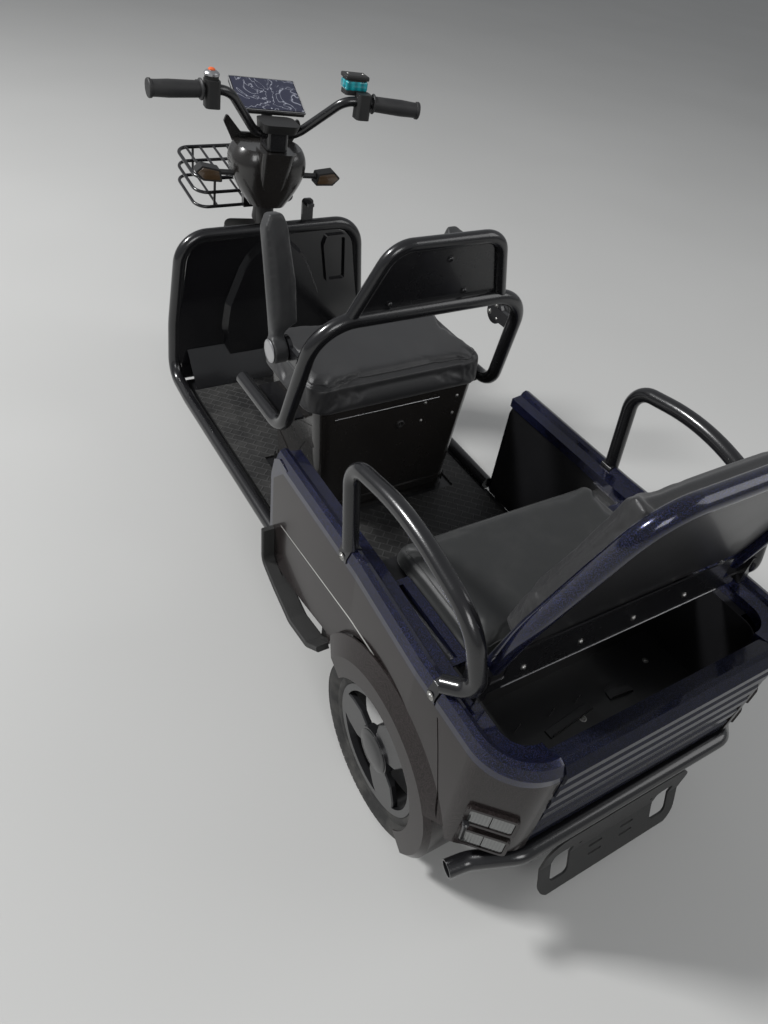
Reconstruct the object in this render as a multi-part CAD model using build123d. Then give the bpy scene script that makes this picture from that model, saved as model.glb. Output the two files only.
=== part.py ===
"""Electric three-wheeled scooter: driver in front, bench and cargo tub behind.

Millimetres. X is the driver's left, forward is -Y, Z is up, the ground is Z 0.
Everything is drawn from the rear axle line and moved by rear_axle_y when saved.
"""
from build123d import *
from math import atan2, cos, degrees, radians, sin, sqrt, tan
import os

# driving dimensions
rear_axle_y = 717.5
wheel_radius = 185.0
tyre_width = 68.0
rim_radius = 143.0
rear_wheel_x = 313.5
wheel_room = 5.5
front_axle_y = -1580.0
wheel_z = wheel_radius
front_lift = 0.71
front_wheel_z = wheel_z + front_lift

rake = 22.0
head_y = -1262.0
head_z = 897.0
steer_at_rest = -8.0
fork_half_width = 72.0

floor_top = 225.0
floor_thickness = 6.0
footwell_front = -565.0
bench_front = -186.0
bench_back = 62.0
tub_floor = 300.0
tub_back = 258.0
tub_half_width = 271.0
bench_deck = 488.0
bench_half_width = 238.0
wall = 3.0
flange_z = 500.0
body_half_width = 340.0
body_front = -512.0
body_back = 300.0
arch_radius = 200.0
lip_radius = 149.0
corner_radius = 98.0
rear_half_width = 241.0
kick_high = tub_floor - wall
step_inner = 314.0
step_width = 44.0
rail_width = 54.0
rail_height = 36.0
head_tube = 52.0
steerer = 26.0

loop_tube = 34.0
loop_half_width = 300.0
shield_y = -1290.0
shield_top = 642.0

seat_box_half_width = 206.0
seat_box_front = -835.0
seat_box_top = 543.0
seat_top = 622.0
seat_half_width = 230.0
arm_inner_x = 234.0
arm_outer_x = 298.0
arm_up = 76.0
arm_down = 14.0
arm_right_at_rest = 23.0
hoop_tube = 32.0
grab_tube = 30.0
pivot_y = -615.0
pivot_z = 691.0
arm_length = 254.0

backrest_hinge_y = 138.0
backrest_hinge_z = 585.0
backrest_lean = 15.0
backrest_height = 372.0

curve_gap = 0.4
pin_gap = 0.3
steerer_gap = 0.5

axis_tilt = tan(radians(rake))


def axis_y(z):
    """Y of the steering axis at height z."""
    return head_y - axis_tilt * (head_z - z)


def block(x0, x1, y0, y1, z0, z1):
    """Box between two corners."""
    size = Box(x1 - x0, y1 - y0, z1 - z0)
    return Pos((x0 + x1) / 2, (y0 + y1) / 2, (z0 + z1) / 2) * size


def rounded_block(x0, x1, y0, y1, z0, z1, radius, axis=Axis.Z):
    """Box with the four edges along one axis rounded."""
    body = block(x0, x1, y0, y1, z0, z1)
    return fillet(body.edges().filter_by(axis), radius)


def rod(start, end, radius):
    """Round bar from one point to another."""
    way = Vector(*end) - Vector(*start)
    place = Plane(origin=start, z_dir=way)
    return extrude(place * Circle(radius), way.length)


def bent_path(points, bend):
    """Wire through the points with an arc at each inner corner: one radius for all, or one for each."""
    marks = [Vector(*p) for p in points]
    radii = bend if isinstance(bend, list) else [bend] * (len(marks) - 2)
    edges = []
    last = marks[0]
    for before, corner, after, radius in zip(marks, marks[1:], marks[2:], radii):
        into = (corner - before).normalized()
        out = (after - corner).normalized()
        turn = radians(into.get_angle(out))
        if turn < 0.02:
            continue
        cut = radius * tan(turn / 2)
        first = corner - into * cut
        second = corner + out * cut
        inward = (out - into).normalized()
        middle = corner + inward * (radius / cos(turn / 2) - radius)
        edges.append(Edge.make_line(last, first))
        edges.append(Edge.make_three_point_arc(first, middle, second))
        last = second
    edges.append(Edge.make_line(last, marks[-1]))
    return Wire(edges)


def tube(points, radius, bend, bore=0.0):
    """Bent round tube."""
    path = bent_path(points, bend)
    start = Vector(*points[0])
    way = Vector(*points[1]) - start
    ring = Plane(origin=start, z_dir=way) * Circle(radius)
    if bore:
        ring -= Plane(origin=start, z_dir=way) * Circle(bore)
    return sweep(ring, path=path)


def ring_tube(half_x, y0, y1, z, radius, corner):
    """Closed rounded rectangle of round wire, lying flat."""
    middle = (y0 + y1) / 2
    outline = RectangleRounded(2 * half_x, y1 - y0, corner)
    path = (Pos(0, middle, z) * outline).wire()
    ring = Plane(origin=(0, y1, z), x_dir=(0, 1, 0), z_dir=(1, 0, 0)) * Circle(radius)
    return sweep(ring, path=path)


def other_side(shape):
    """The same piece on the right."""
    return mirror(shape, about=Plane.YZ)


def both(shape):
    """A left piece and its right twin in one node."""
    return Compound(children=[shape, other_side(shape)])


def plate(plane, points, thickness, bend=0.0):
    """Flat plate drawn on a plane and thickened along its normal."""
    outline = make_face(Polyline(*points, close=True))
    if bend:
        outline = fillet(outline.vertices(), bend)
    return extrude(plane * outline, thickness, dir=plane.z_dir)


def side_shape(points, x0, x1):
    """Plate with a side outline given as Y, Z points."""
    return plate(Plane(origin=(x0, 0, 0), x_dir=(0, 1, 0), z_dir=(1, 0, 0)), points, x1 - x0)


def plan_wall(points, bend, thickness, z0, z1):
    """Upright wall that follows a bent line in plan."""
    path = bent_path([(x, y, z0) for x, y in points], bend)
    start = Vector(points[0][0], points[0][1], z0)
    way = Vector(points[1][0] - points[0][0], points[1][1] - points[0][1], 0)
    strip = Rectangle(thickness, z1 - z0, align=(Align.CENTER, Align.MIN))
    across = Vector(-way.Y, way.X, 0)
    return sweep(Plane(origin=start, x_dir=across, z_dir=way) * strip, path=path)


steer_axis = Axis((0, head_y, head_z), (0, sin(radians(rake)), cos(radians(rake))))


def turned(shape):
    """A steered piece in the turned place that the photo shows."""
    return shape.rotate(steer_axis, steer_at_rest)


os.makedirs("parts", exist_ok=True)


def save(node, shape):
    """Write one node in the shared frame."""
    export_step(Pos(0, rear_axle_y, 0) * shape, "parts/" + node + ".step")


# chassis frame: two rails, cross tubes, neck and head tube
rail_x = 130.0
rail_low = 168.0
rail_high = floor_top - floor_thickness
frame = Part()
for side in (1, -1):
    frame += block(side * rail_x - 20, side * rail_x + 20, -1265, -146, rail_low, rail_high)
    frame += block(side * rail_x - 20, side * rail_x + 20, -182, -146, rail_low, kick_high)
    frame += block(side * rail_x - 20, side * rail_x + 20, -182, 250, kick_high - 36, kick_high)
for cross_y in (-1245, -900, -540, -250):
    frame += block(-rail_x, rail_x, cross_y - 20, cross_y + 20, rail_low, rail_high)
frame += block(-268, 268, 212, 250, kick_high - 36, kick_high)
frame += block(-268, 268, -182, -146, kick_high - 36, kick_high)
loop_reach = loop_half_width - 24
for outrigger_y, reach in ((-1150, loop_reach), (-700, loop_reach), (-470, step_inner), (-270, step_inner)):
    frame += block(-reach, reach, outrigger_y - 12, outrigger_y + 12, rail_high - 24, rail_high)
neck_low = rail_low + 25
frame += tube([(0, -1240, neck_low), (0, -1322, neck_low),
               (0, -1322, 470), (0, axis_y(690) + 4, 690)], 24, 70)
head_low = Vector(0, axis_y(640), 640)
head_high = Vector(0, axis_y(800), 800)
frame += rod(head_low, head_high, head_tube / 2)
frame -= rod((0, axis_y(600), 600), (0, axis_y(840), 840), steerer / 2 + steerer_gap)
save("frame", frame)

# floor-and-shield loop tube with a bag hook on top
loop_half = [
    (loop_half_width - 6, -525, floor_top + 8),
    (loop_half_width, -1150, floor_top + 8),
    (loop_half_width, shield_y + 4, floor_top + 20),
    (loop_half_width - 12, shield_y, 400),
    (loop_half_width - 44, shield_y + 12, shield_top),
]
loop_points = loop_half + [(-x, y, z) for x, y, z in reversed(loop_half)]
loop_bends = [46, 60, 400, 80, 80, 400, 60, 46]
shield_loop = tube(loop_points, loop_tube / 2, loop_bends)
loop_room = tube(loop_points, loop_tube / 2 + curve_gap, loop_bends)
hook_x = -100.0
hook = rounded_block(hook_x - 16, hook_x + 16, shield_y + 6, shield_y + 14,
                     shield_top, 716, 10, Axis.Y)
hook += block(hook_x - 9, hook_x + 9, shield_y + 6, shield_y + 34, 700, 708)
shield_loop += hook
save("shield_loop", shield_loop)

# leg shield with its raised middle, a side pocket and the swept-up toe board
shield_plane = Plane(origin=(0, shield_y + 12, 0), x_dir=(-1, 0, 0), z_dir=(0, 1, 0))
shield_half = loop_half_width - 14
shield_side = [(shield_half, floor_top), (shield_half, 380), (shield_half - 30, 632)]
shield_points = shield_side + [(-x, z) for x, z in reversed(shield_side)]
shield = plate(shield_plane, shield_points, 4)
# half width and height of the middle's outline, from its foot to its top
middle_rows = [(148, floor_top + 2), (158, 380), (147, 446), (103, 548), (82, 580), (42, 616)]
middle_points = middle_rows + [(-x, z) for x, z in reversed(middle_rows)]
shield += extrude(shield_plane * fillet(make_face(Polyline(*middle_points, close=True)).vertices(), 8),
                  26, dir=(0, 1, 0), taper=24)
hollow_points = [(x * 0.9, z - 4) for x, z in middle_points]
shield -= extrude(shield_plane * make_face(Polyline(*hollow_points, close=True)), 20,
                  dir=(0, 1, 0), taper=24)
pocket = plate(shield_plane, [(232, 470), (168, 470), (150, 585), (160, 612), (222, 612)], 14, 10)
pocket -= plate(shield_plane, [(226, 478), (175, 478), (160, 590), (166, 604), (217, 604)], 30, 6)
shield += pocket
toe = side_shape([(shield_y + 14, 318), (shield_y + 18, 318), (shield_y + 90, floor_top + 3),
                  (shield_y + 90, floor_top), (shield_y + 82, floor_top)],
                 -shield_half + 24, shield_half - 24)
shield += toe
shield -= loop_room
shield = shield.solids().sort_by(SortBy.VOLUME)[-1]
save("leg_shield", shield)

# floor board and one moulded mat round the seat box
mat_half = loop_half_width - 30
board = block(-mat_half - 12, mat_half + 12, shield_y + 28, -515, rail_high, floor_top)
board += block(-shield_half, shield_half, -515, bench_front - wall, rail_high, floor_top)
board -= loop_room
save("floor_board", board)
mat = block(-mat_half, mat_half, shield_y + 94, bench_front - 6, floor_top, floor_top + 5)
mat -= block(-seat_box_half_width, seat_box_half_width, seat_box_front - 6,
             footwell_front + 6, floor_top - 1, floor_top + 6)
mat -= loop_room
save("floor_mats", mat)

# seat box, open on top for the battery, narrower at its foot
box_taper = 24.0
box_middle = (seat_box_front + footwell_front) / 2
box_depth = footwell_front - seat_box_front


def box_shape(inset, low, high, radius):
    """Tapered box between two heights, set in from the outer faces."""
    sections = []
    for z in (low, high):
        taper = box_taper * (seat_box_top - z) / (seat_box_top - floor_top)
        width = 2 * (seat_box_half_width - taper - inset)
        depth = box_depth - taper - 2 * inset
        sections.append(Pos(0, box_middle, z) * RectangleRounded(width, depth, radius))
    return loft(sections, ruled=True)


seat_box = box_shape(0, floor_top, seat_box_top, 30)
skirt = box_shape(-3, floor_top, floor_top + 42, 32)
seat_box += skirt
# sculpted flashes pressed into each side: Y and Z corners
flash_rows = (
    [(-812, 444), (-770, 420), (-660, 492), (-590, 512), (-600, 496), (-668, 468), (-768, 396)],
    [(-600, 466), (-640, 424), (-720, 310), (-700, 310), (-628, 406), (-590, 444)],
    [(-800, 376), (-740, 344), (-690, 376), (-740, 328), (-800, 358)],
)
side_lean = box_taper / (seat_box_top - floor_top)
flash_depth = 1.6
flash_x = seat_box_half_width - flash_depth - side_lean * seat_box_top
flash_plane = Plane(origin=(flash_x, 0, 0), x_dir=(0, 1, 0), z_dir=(1, 0, -side_lean))
for flash in flash_rows:
    flash_cut = plate(flash_plane, flash, 6)
    seat_box -= flash_cut
    seat_box -= other_side(flash_cut)
seat_box -= box_shape(4, floor_top + 4, seat_box_top, 26)
seat_box -= box_shape(4, seat_box_top - 1, seat_box_top + 4, 26)
# two hinge pins at the front edge, each between a pair of lugs
lid_axis_y = seat_box_front - 11
lid_axis_z = seat_box_top - 4
lid_pin = 4.0
for pin_x in (-76, 76):
    seat_box += rod((pin_x - 26, lid_axis_y, lid_axis_z), (pin_x + 26, lid_axis_y, lid_axis_z), lid_pin)
    for lug_x in (pin_x - 26, pin_x + 20):
        seat_box += block(lug_x, lug_x + 6, lid_axis_y - 4, seat_box_front + 3, lid_axis_z - 8,
                          lid_axis_z + 3)
save("seat_box", seat_box)

# hoop that carries the driver's backrest and the armrests
arm_pin = 8.0
hoop_half = [
    (276, -812, 506),
    (276, -590, 512),
    (246, -522, 786),
]
hoop_points = hoop_half + [(-x, y, z) for x, y, z in reversed(hoop_half)]
hoop = tube(hoop_points, hoop_tube / 2, [55, 92, 92, 55])
for side in (1, -1):
    hoop -= rod((side * 276, -814, 506), (side * 276, -796, 506.5), hoop_tube / 2 - 2.5)
back_half = [(178, -524, 786), (118, -492, 934)]
back_points = back_half + [(-x, y, z) for x, y, z in reversed(back_half)]
hoop += tube(back_points, 13, 56)
back_plane = Plane(origin=(0, -508, 860), x_dir=(1, 0, 0), z_dir=(0, -148, 32))
hoop += plate(back_plane, [(-163, -70), (163, -70), (116, 70), (-116, 70)], 3)
for side in (1, -1):
    inner = seat_box_half_width - 8
    hoop += block(min(side * inner, side * 276), max(side * inner, side * 276), -790, -640, 488, 494)
    hoop += rod((side * 258, pivot_y, pivot_z), (side * 266, pivot_y, pivot_z), 27)
    hoop += rod((side * 260, pivot_y, pivot_z), (side * (arm_outer_x - 10), pivot_y, pivot_z), arm_pin)
    hoop += block(min(side * 256, side * 266), max(side * 256, side * 266), pivot_y, -556,
                  pivot_z - 16, pivot_z + 14)
hoop -= box_shape(-0.05, floor_top, seat_box_top, 30)
hoop = hoop.solids().sort_by(SortBy.VOLUME)[-1]
save("seat_hoop", hoop)

driver_pad = plate(back_plane, [(-138, -56), (138, -56), (108, 58), (-108, 58)], 36, 20)
driver_pad = driver_pad.translate(back_plane.z_dir * 3.3)
save("driver_back_pad", driver_pad)

# body side panels: wall, wheel flare with its lip, arch liner and corner
seam_front_x = body_half_width - 12
wall_x = body_half_width
lip_outer_x = rear_wheel_x + tyre_width / 2 + wheel_room + wall
lip_inner_x = lip_outer_x - wall
flare_radius = wheel_radius + 47
crease_radius = wheel_radius + 6
panel_low = 214.0
panel_side = [
    (body_front, panel_low), (body_front, flange_z - 44), (body_front + 44, flange_z),
    (body_back + 10, flange_z), (body_back + 10, 290), (226, 254), (168, 214),
    (120, panel_low - 20), (-208, panel_low + 10), (-240, 262), (-350, 236),
]
panel_plan = [(seam_front_x, body_front), (seam_front_x + 1, -158), (wall_x, 60), (wall_x, 226),
              (wall_x - 74, body_back), (rear_half_width + 1, body_back)]
panel = plan_wall(panel_plan, 44, wall, 180, flange_z)
panel &= side_shape(panel_side, rear_half_width - 20, wall_x + 60)
wheel_line = Axis((0, 0, wheel_z), (1, 0, 0))
panel -= Pos(0, 0, wheel_z) * Rot(0, 90, 0) * Cylinder(flare_radius - 2, 1200)


def wheel_ring(profile, start, arc):
    """X and radius profile swept round the rear wheel line from a start angle."""
    way = (0, cos(radians(start)), sin(radians(start)))
    up = (0, -sin(radians(start)), cos(radians(start)))
    face = Plane(origin=(0, 0, wheel_z), x_dir=(1, 0, 0), z_dir=up)
    flat = make_face(Polyline(*[(x, r) for x, r in profile], close=True))
    return revolve(face * flat, axis=wheel_line, revolution_arc=arc)


liner_x = tub_half_width + wall + curve_gap
flare_slope = (lip_inner_x - (wall_x - wall / 2)) / (flare_radius - crease_radius)


def flare_x(radius):
    """X of the flare's inner face at a radius."""
    return lip_inner_x - flare_slope * (radius - crease_radius + 1)


flare_profile = [
    (lip_inner_x, lip_radius), (lip_outer_x, lip_radius), (lip_outer_x, crease_radius),
    (wall_x + wall / 2, flare_radius), (flare_x(flare_radius), flare_radius),
    (flare_x(arch_radius + wall), arch_radius + wall), (liner_x, arch_radius + wall),
    (liner_x, arch_radius), (flare_x(arch_radius), arch_radius), (lip_inner_x, crease_radius - 1),
]
guard_profile = [
    (lip_inner_x, lip_radius), (lip_outer_x, lip_radius), (lip_outer_x, crease_radius + 2),
    (lip_outer_x - 10, arch_radius + wall), (liner_x, arch_radius + wall), (liner_x, arch_radius),
    (lip_outer_x - 12, arch_radius), (lip_inner_x, crease_radius),
]
flare_start = 24.0
flare_end = 151.0
guard_start = -38.0
panel += wheel_ring(flare_profile, flare_start, flare_end - flare_start)
panel += wheel_ring(guard_profile, guard_start, flare_start - guard_start)
# corner face with two lamp frames and a slanted seam in front of them
corner_middle = Vector(wall_x - 37, (226 + body_back) / 2, 0)
corner_out = Vector(body_back - 226, 74, 0).normalized()
corner_plane = Plane(origin=corner_middle + corner_out * (wall / 2), x_dir=(-corner_out.Y, corner_out.X, 0),
                     z_dir=corner_out)
lamp_rows = ((368, 50), (302, 50))  # height of the middle, height of the frame
lamp_width = 84.0
lamps = []
for lamp_z, lamp_height in lamp_rows:
    outer = corner_plane * Pos(0, lamp_z) * RectangleRounded(lamp_width, lamp_height, 9)
    inner = corner_plane * Pos(0, lamp_z) * RectangleRounded(lamp_width - 12, lamp_height - 12, 5)
    frame_ring = extrude(outer, 7, dir=corner_out) - extrude(inner, 9, dir=corner_out)
    panel += frame_ring
    for cell_x in (-1, 1):
        cell = corner_plane * Pos(cell_x * (lamp_width - 12) / 4, lamp_z) * \
            RectangleRounded((lamp_width - 12) / 2 - 1.6, lamp_height - 13, 4)
        lens = extrude(cell, 5, dir=corner_out).translate(corner_out * 0.3)
        lamps.append(lens)
seam_cut = side_shape([(129, 486), (133, 486), (152, 430), (215, 224), (211, 224), (148, 430)],
                      wall_x + 0.5, wall_x + 6)
panel -= seam_cut
panel = panel.solids().sort_by(SortBy.VOLUME)[-1]
save("side_panel_left", panel)
save("side_panel_right", other_side(panel))

# painted rail covers: a rounded crest outside and a flat shelf inside
# across: outward from the inner edge, up: from the seam
rail_rows = [(0, 0), (0, 21), (24, 25), (28, 32), (36, rail_height), (46, 32), (rail_width, 15),
             (rail_width, 0)]


def rail_face(origin, x_dir, z_dir):
    """Rail section with its outer bottom corner on the seam line."""
    place = Plane(origin=origin, x_dir=x_dir, z_dir=z_dir)
    flat = make_face(Polyline(*[(x - rail_width, up) for x, up in rail_rows], close=True))
    return place * flat


rail_seam = flange_z + 0.2
collar_y = -206.0
band_y = 118.0
seam_out = wall / 2
rail_outer = [(seam_front_x + seam_out, body_front + 10), (seam_front_x + 1 + seam_out, -158),
              (wall_x + seam_out, 60), (wall_x + seam_out, band_y - 2)]
rail_path = bent_path([(x, y, rail_seam) for x, y in rail_outer], 60)
rail_cover = sweep(rail_face(Vector(*rail_outer[0], rail_seam), (1, 0, 0), (0, -1, 0)), path=rail_path)
# nose: the cover runs down the front edge of the side panel and gets narrower
nose_side = [
    (body_front + 60, flange_z + 0.2), (body_front + 44, flange_z), (body_front, flange_z - 44),
    (body_front, panel_low), (body_front - 12, panel_low), (body_front - 12, flange_z - 40),
    (body_front + 2, flange_z + 8), (body_front + 26, flange_z + 24), (body_front + 60, flange_z + 20),
]
nose = side_shape(nose_side, seam_front_x - 26, seam_front_x + seam_out)
rail_cover += nose
ledge_front = bench_front + 60
ledge_back = bench_back + 8
rail_cover += block(240, 259, ledge_front, ledge_back, bench_deck + 0.2, rail_seam + 2)
for tab_y in (ledge_front + 6, ledge_back - 6):
    rail_cover += block(250, seam_front_x - rail_width + 10, tab_y - 6, tab_y + 6, rail_seam, rail_seam + 2)
save("top_rails", both(rail_cover))

# rim round each rear corner, and the grooved panel between them
rim_outer = [(wall_x + seam_out, band_y + 1), (wall_x + seam_out, body_back + seam_out),
             (rear_half_width, body_back + seam_out)]
rim_path = bent_path([(x, y, rail_seam) for x, y in rim_outer], corner_radius)
rim_face = rail_face(Vector(*rim_outer[0], rail_seam), (1, 0, 0), (0, -1, 0))
rim = sweep(rim_face, path=rim_path)
save("rear_rim", both(rim))

# inner tub: footwell walls, bench box and cargo tub as one folded sheet
tub = Part()
for side in (1, -1):
    x_in = tub_half_width
    tub += block(min(side * 287, side * 290), max(side * 287, side * 290), -505, -198,
                 floor_top, flange_z)
    tub += block(min(side * x_in, side * 290), max(side * x_in, side * 290), -201, -198,
                 floor_top, flange_z)
    tub += block(min(side * x_in, side * 315), max(side * x_in, side * 315), -201, 200,
                 flange_z - wall, flange_z)
    tub += block(min(side * 287, side * 315), max(side * 287, side * 315), -462, -198,
                 flange_z - wall, flange_z)
    tub += block(min(side * x_in, side * (x_in + wall)), max(side * x_in, side * (x_in + wall)),
                 -201, bench_back, kick_high - 36, flange_z)
tub += block(-x_in, x_in, bench_front - wall, bench_front, floor_top, bench_deck)
tub += block(-x_in, x_in, bench_front - wall, bench_back, bench_deck - wall, bench_deck)
tub_plan = [(x_in + wall / 2, bench_back - 5), (x_in + wall / 2, tub_back + wall / 2),
            (-x_in - wall / 2, tub_back + wall / 2), (-x_in - wall / 2, bench_back - 5)]
tub += plan_wall(tub_plan, 50, wall, tub_floor - wall, flange_z)
tub += block(-x_in, x_in, bench_back - wall, bench_back, tub_floor - wall, bench_deck)
floor_outline = rounded_block(-x_in, x_in, bench_back - 60, tub_back, tub_floor - wall, tub_floor, 48)
tub += floor_outline & block(-400, 400, bench_back - wall, 400, 0, 500)
save("inner_tub", tub)

# grooved rear panel between the corners: Y outside the wall line, and Z
groove_pitch = 40.0
groove_count = 5
groove_depth = 5.0
rear_low = 290.0
outside = body_back + 4
rear_outline = [(body_back - 40, rail_seam), (body_back - 40, rail_seam + 20),
                (body_back - 14, rail_seam + rail_height - 6), (body_back - 4, rail_seam + rail_height - 6),
                (outside + 4, rail_seam + 14)]
for step_down in range(groove_count):
    top = rail_seam - 4 - step_down * groove_pitch
    lean_in = step_down * 1.6
    rear_outline += [(outside + 3 - lean_in, top), (outside - 1.4 - lean_in, top - 6),
                     (outside - 1.4 - lean_in, top - 14), (outside + 2.4 - lean_in, top - 20)]
rear_outline += [(outside - 6, rear_low), (outside - 10, rear_low), (outside - 10, rail_seam)]
rear_panel = side_shape(rear_outline, -rear_half_width + 1, rear_half_width - 1)
save("rear_panel", rear_panel)

# tail lamps, two on each rear corner with two cells in each
save("tail_lamps", Compound(children=lamps + [other_side(piece) for piece in lamps]))

hinge_pin = 9.0
hinge_pin_end = 301.0
hinge_inner_x = 288.0


def collar(y0, y1, seam_x, grow):
    """Saddle of sheet over the crest and outer flank of a rail."""
    place = Plane(origin=(seam_x, y0, rail_seam), x_dir=(1, 0, 0), z_dir=(0, -1, 0))
    flat = make_face(Polyline(*[(x - rail_width, up) for x, up in rail_rows[2:]], close=True))
    sheet = extrude(place * offset(flat, grow), y1 - y0, dir=(0, 1, 0))
    return sheet & block(seam_x - 30, seam_x + 20, y0, y1, rail_seam + 6, rail_seam + 60)


# grab rails over the sides, joined behind the bench by a cross plate with the backrest hinges
grab_x = 318.0
grab_points = [(grab_x, collar_y, rail_seam + rail_height - 4), (grab_x + 4, -226, 712),
               (grab_x + 2, -60, 738), (grab_x, 124, 692), (grab_x - 14, 158, 566),
               (grab_x + 14, band_y - 6, rail_seam + rail_height + 9)]
grab = tube(grab_points, grab_tube / 2, [48, 400, 90, 32])
grab += collar(collar_y - 15, collar_y + 13, seam_front_x + seam_out + 0.8, 2.4)
grab += collar(band_y - 22, band_y - 1.6, wall_x + seam_out, 2.4)
grab += block(hinge_inner_x, 306, 122, 160, 540, 603)
grab += rod((hinge_inner_x, backrest_hinge_y, backrest_hinge_z), (303, backrest_hinge_y, backrest_hinge_z), 21)
grab -= rod((280, backrest_hinge_y, backrest_hinge_z), (hinge_pin_end + 2, backrest_hinge_y, backrest_hinge_z),
            hinge_pin + pin_gap)
cross_y = backrest_hinge_y + 7
grab += block(-1, hinge_inner_x + 2, cross_y, cross_y + wall, 530, 553)
grab += block(-1, 247, cross_y, cross_y + wall, 530, 610)
grab += block(-1, 247, cross_y - 8, cross_y + wall, 530, 533)
grab -= rail_cover
grab -= rim
grab = grab.solids().sort_by(SortBy.VOLUME)[-1]
grab += other_side(grab)
save("grab_rails", grab)

# bench cushion
bench = rounded_block(-bench_half_width, bench_half_width, bench_front - 6, bench_back + 24,
                      bench_deck + 0.3, bench_deck + 46, 22)
save("bench_cushion", bench)

# rear bumper tube and the board under it
bumper_y = body_back + 6
bumper_z = 266.0
bumper_tube = 32.0
bumper_half = [(wall_x + 14, 258, 226), (wall_x - 24, 264, 230), (rear_half_width + 4, bumper_y, bumper_z)]
bumper_points = bumper_half + [(-x, y, z) for x, y, z in reversed(bumper_half)]
bumper = tube(bumper_points, bumper_tube / 2, 46)
for side in (1, -1):
    bumper += block(side * rail_x - 14, side * rail_x + 14, 216, bumper_y, 240, kick_high - 36)
    bumper -= rod((side * (wall_x + 15), 258, 226), (side * (wall_x - 4), 260.5, 227.5), bumper_tube / 2 - 2.5)
save("rear_bumper", bumper)
plate_hole_x = 90.0
plate_hole_z = 176.0
board_half = 176.0
board_face = body_back + 18
board_side = [(board_face - 4, 236), (board_face, 236), (board_face, 150), (board_face + 24, 70),
              (board_face + 20, 70), (board_face - 4, 149)]
board_rear = side_shape(board_side, -board_half, board_half)
board_trim = extrude(Plane.XZ * Pos(0, 150) * RectangleRounded(2 * board_half, 172, 44), -600)
board_rear = board_rear & board_trim
for side in (1, -1):
    window = extrude(Plane.XZ * Pos(side * 128, 142) * RectangleRounded(44, 84, 12), -600)
    board_rear -= window
    board_rear += block(side * rail_x - 16, side * rail_x + 16, body_back - 16, board_face - 2, 225, 239.7)
for slot_z in (112, 134):
    for slot_x in (-40, 40):
        board_rear -= extrude(Plane.XZ * Pos(slot_x, slot_z) * SlotOverall(34, 6), -600)
board_rear -= tube(bumper_points, bumper_tube / 2 + curve_gap, 46)
for side in (1, -1):
    board_rear -= block(side * rail_x - 14.3, side * rail_x + 14.3, 200, bumper_y, 239.7, 300)
board_rear = board_rear.solids().sort_by(SortBy.VOLUME)[-1]
for hole_x in (-plate_hole_x, plate_hole_x):
    board_rear -= rod((hole_x, board_face + 30, plate_hole_z), (hole_x, board_face - 30, plate_hole_z), 3.25)
save("plate_board", board_rear)

# rear axle, motor case, springs
hub_bore = 10.0
axle = rod((-268, 0, wheel_z), (268, 0, wheel_z), 26)
axle += rod((-60, 0, wheel_z), (60, 0, wheel_z), 66)
axle += rod((60, 0, wheel_z), (108, 0, wheel_z), 56)
for side in (1, -1):
    axle += block(side * rail_x - 8, side * rail_x + 8, -140, 14, wheel_z - 14, wheel_z + 14)
    axle += block(side * rail_x - 8, side * rail_x + 8, -140, -112, wheel_z - 14, kick_high - 36)
    axle += rod((side * 240, 0, wheel_z), (side * 278, 0, wheel_z), 60)
    axle += rod((side * 268, 0, wheel_z), (side * (rear_wheel_x + 31), 0, wheel_z), hub_bore)
    axle += rod((side * 215, 0, wheel_z), (side * 215, -14, bench_deck - 8), 24)
save("rear_axle", axle)

# side steps: a moulded band that cradles the nose of each side panel
step_outer = step_inner + step_width
step_rows = [(body_front + 8, 322), (body_front + 10, 229), (-436, 202), (-353, 178), (-270, 195),
             (-222, 236)]
step_path = bent_path([(step_inner + step_width / 2, y, z) for y, z in step_rows], 26)
step_face = Plane(origin=step_path @ 0, x_dir=(1, 0, 0), z_dir=step_path % 0) * \
    fillet(Rectangle(step_width, 12).vertices(), 4)
step = sweep(step_face, path=step_path)
step -= block(seam_front_x - 40, seam_front_x + seam_out + 0.7, -600, -200, panel_low - 0.4, 400)
step = step.solids().sort_by(SortBy.VOLUME)[-1]
save("side_steps", both(step))

# wire carrier ahead of the head tube: a barred top ring over two more rings
basket_x = 150.0
basket_back = -1450.0
basket_front = -1628.0
basket_top = 722.0
basket_tilt = 8.5
basket = Part()
ring_rows = ((0.0, 5.0), (-40.0, 4.5), (-82.0, 4.5))  # height below the top ring, wire radius
for drop, wire in ring_rows:
    basket += ring_tube(basket_x, basket_front, basket_back, basket_top + drop, wire, 36)
for bar_x in (-120, -80, -40, 0, 40, 80, 120):
    basket += rod((bar_x, basket_front, basket_top), (bar_x, basket_back, basket_top), 3.5)
for bar_x in (-90, 0, 90):
    basket += rod((bar_x, basket_front, basket_top - 82), (bar_x, basket_back, basket_top - 82), 3.5)
for post_x in (-100, 100):
    for post_y in (basket_front, basket_back):
        basket += rod((post_x, post_y, basket_top - 82), (post_x, post_y, basket_top), 3.5)
basket = basket.rotate(Axis((0, basket_back, basket_top), (1, 0, 0)), -basket_tilt)
bracket_z = basket_top - 46
basket += block(-20, 20, basket_back - 6, axis_y(bracket_z), bracket_z - 6, bracket_z + 6)
basket += block(-20, 20, basket_back - 8, basket_back + 8, bracket_z - 36, bracket_z + 6)
basket -= rod(head_low, head_high, head_tube / 2 + steerer_gap)
basket = basket.solids().sort_by(SortBy.VOLUME)[-1]
save("front_basket", basket)

# fork
leg_ahead = 30.0


def fork_point(side, along):
    """Point on a fork leg, measured up the steering axis from the axle line."""
    base_y = front_axle_y
    return (side * fork_half_width, base_y + along * sin(radians(rake)),
            front_wheel_z + along * cos(radians(rake)))


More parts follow.
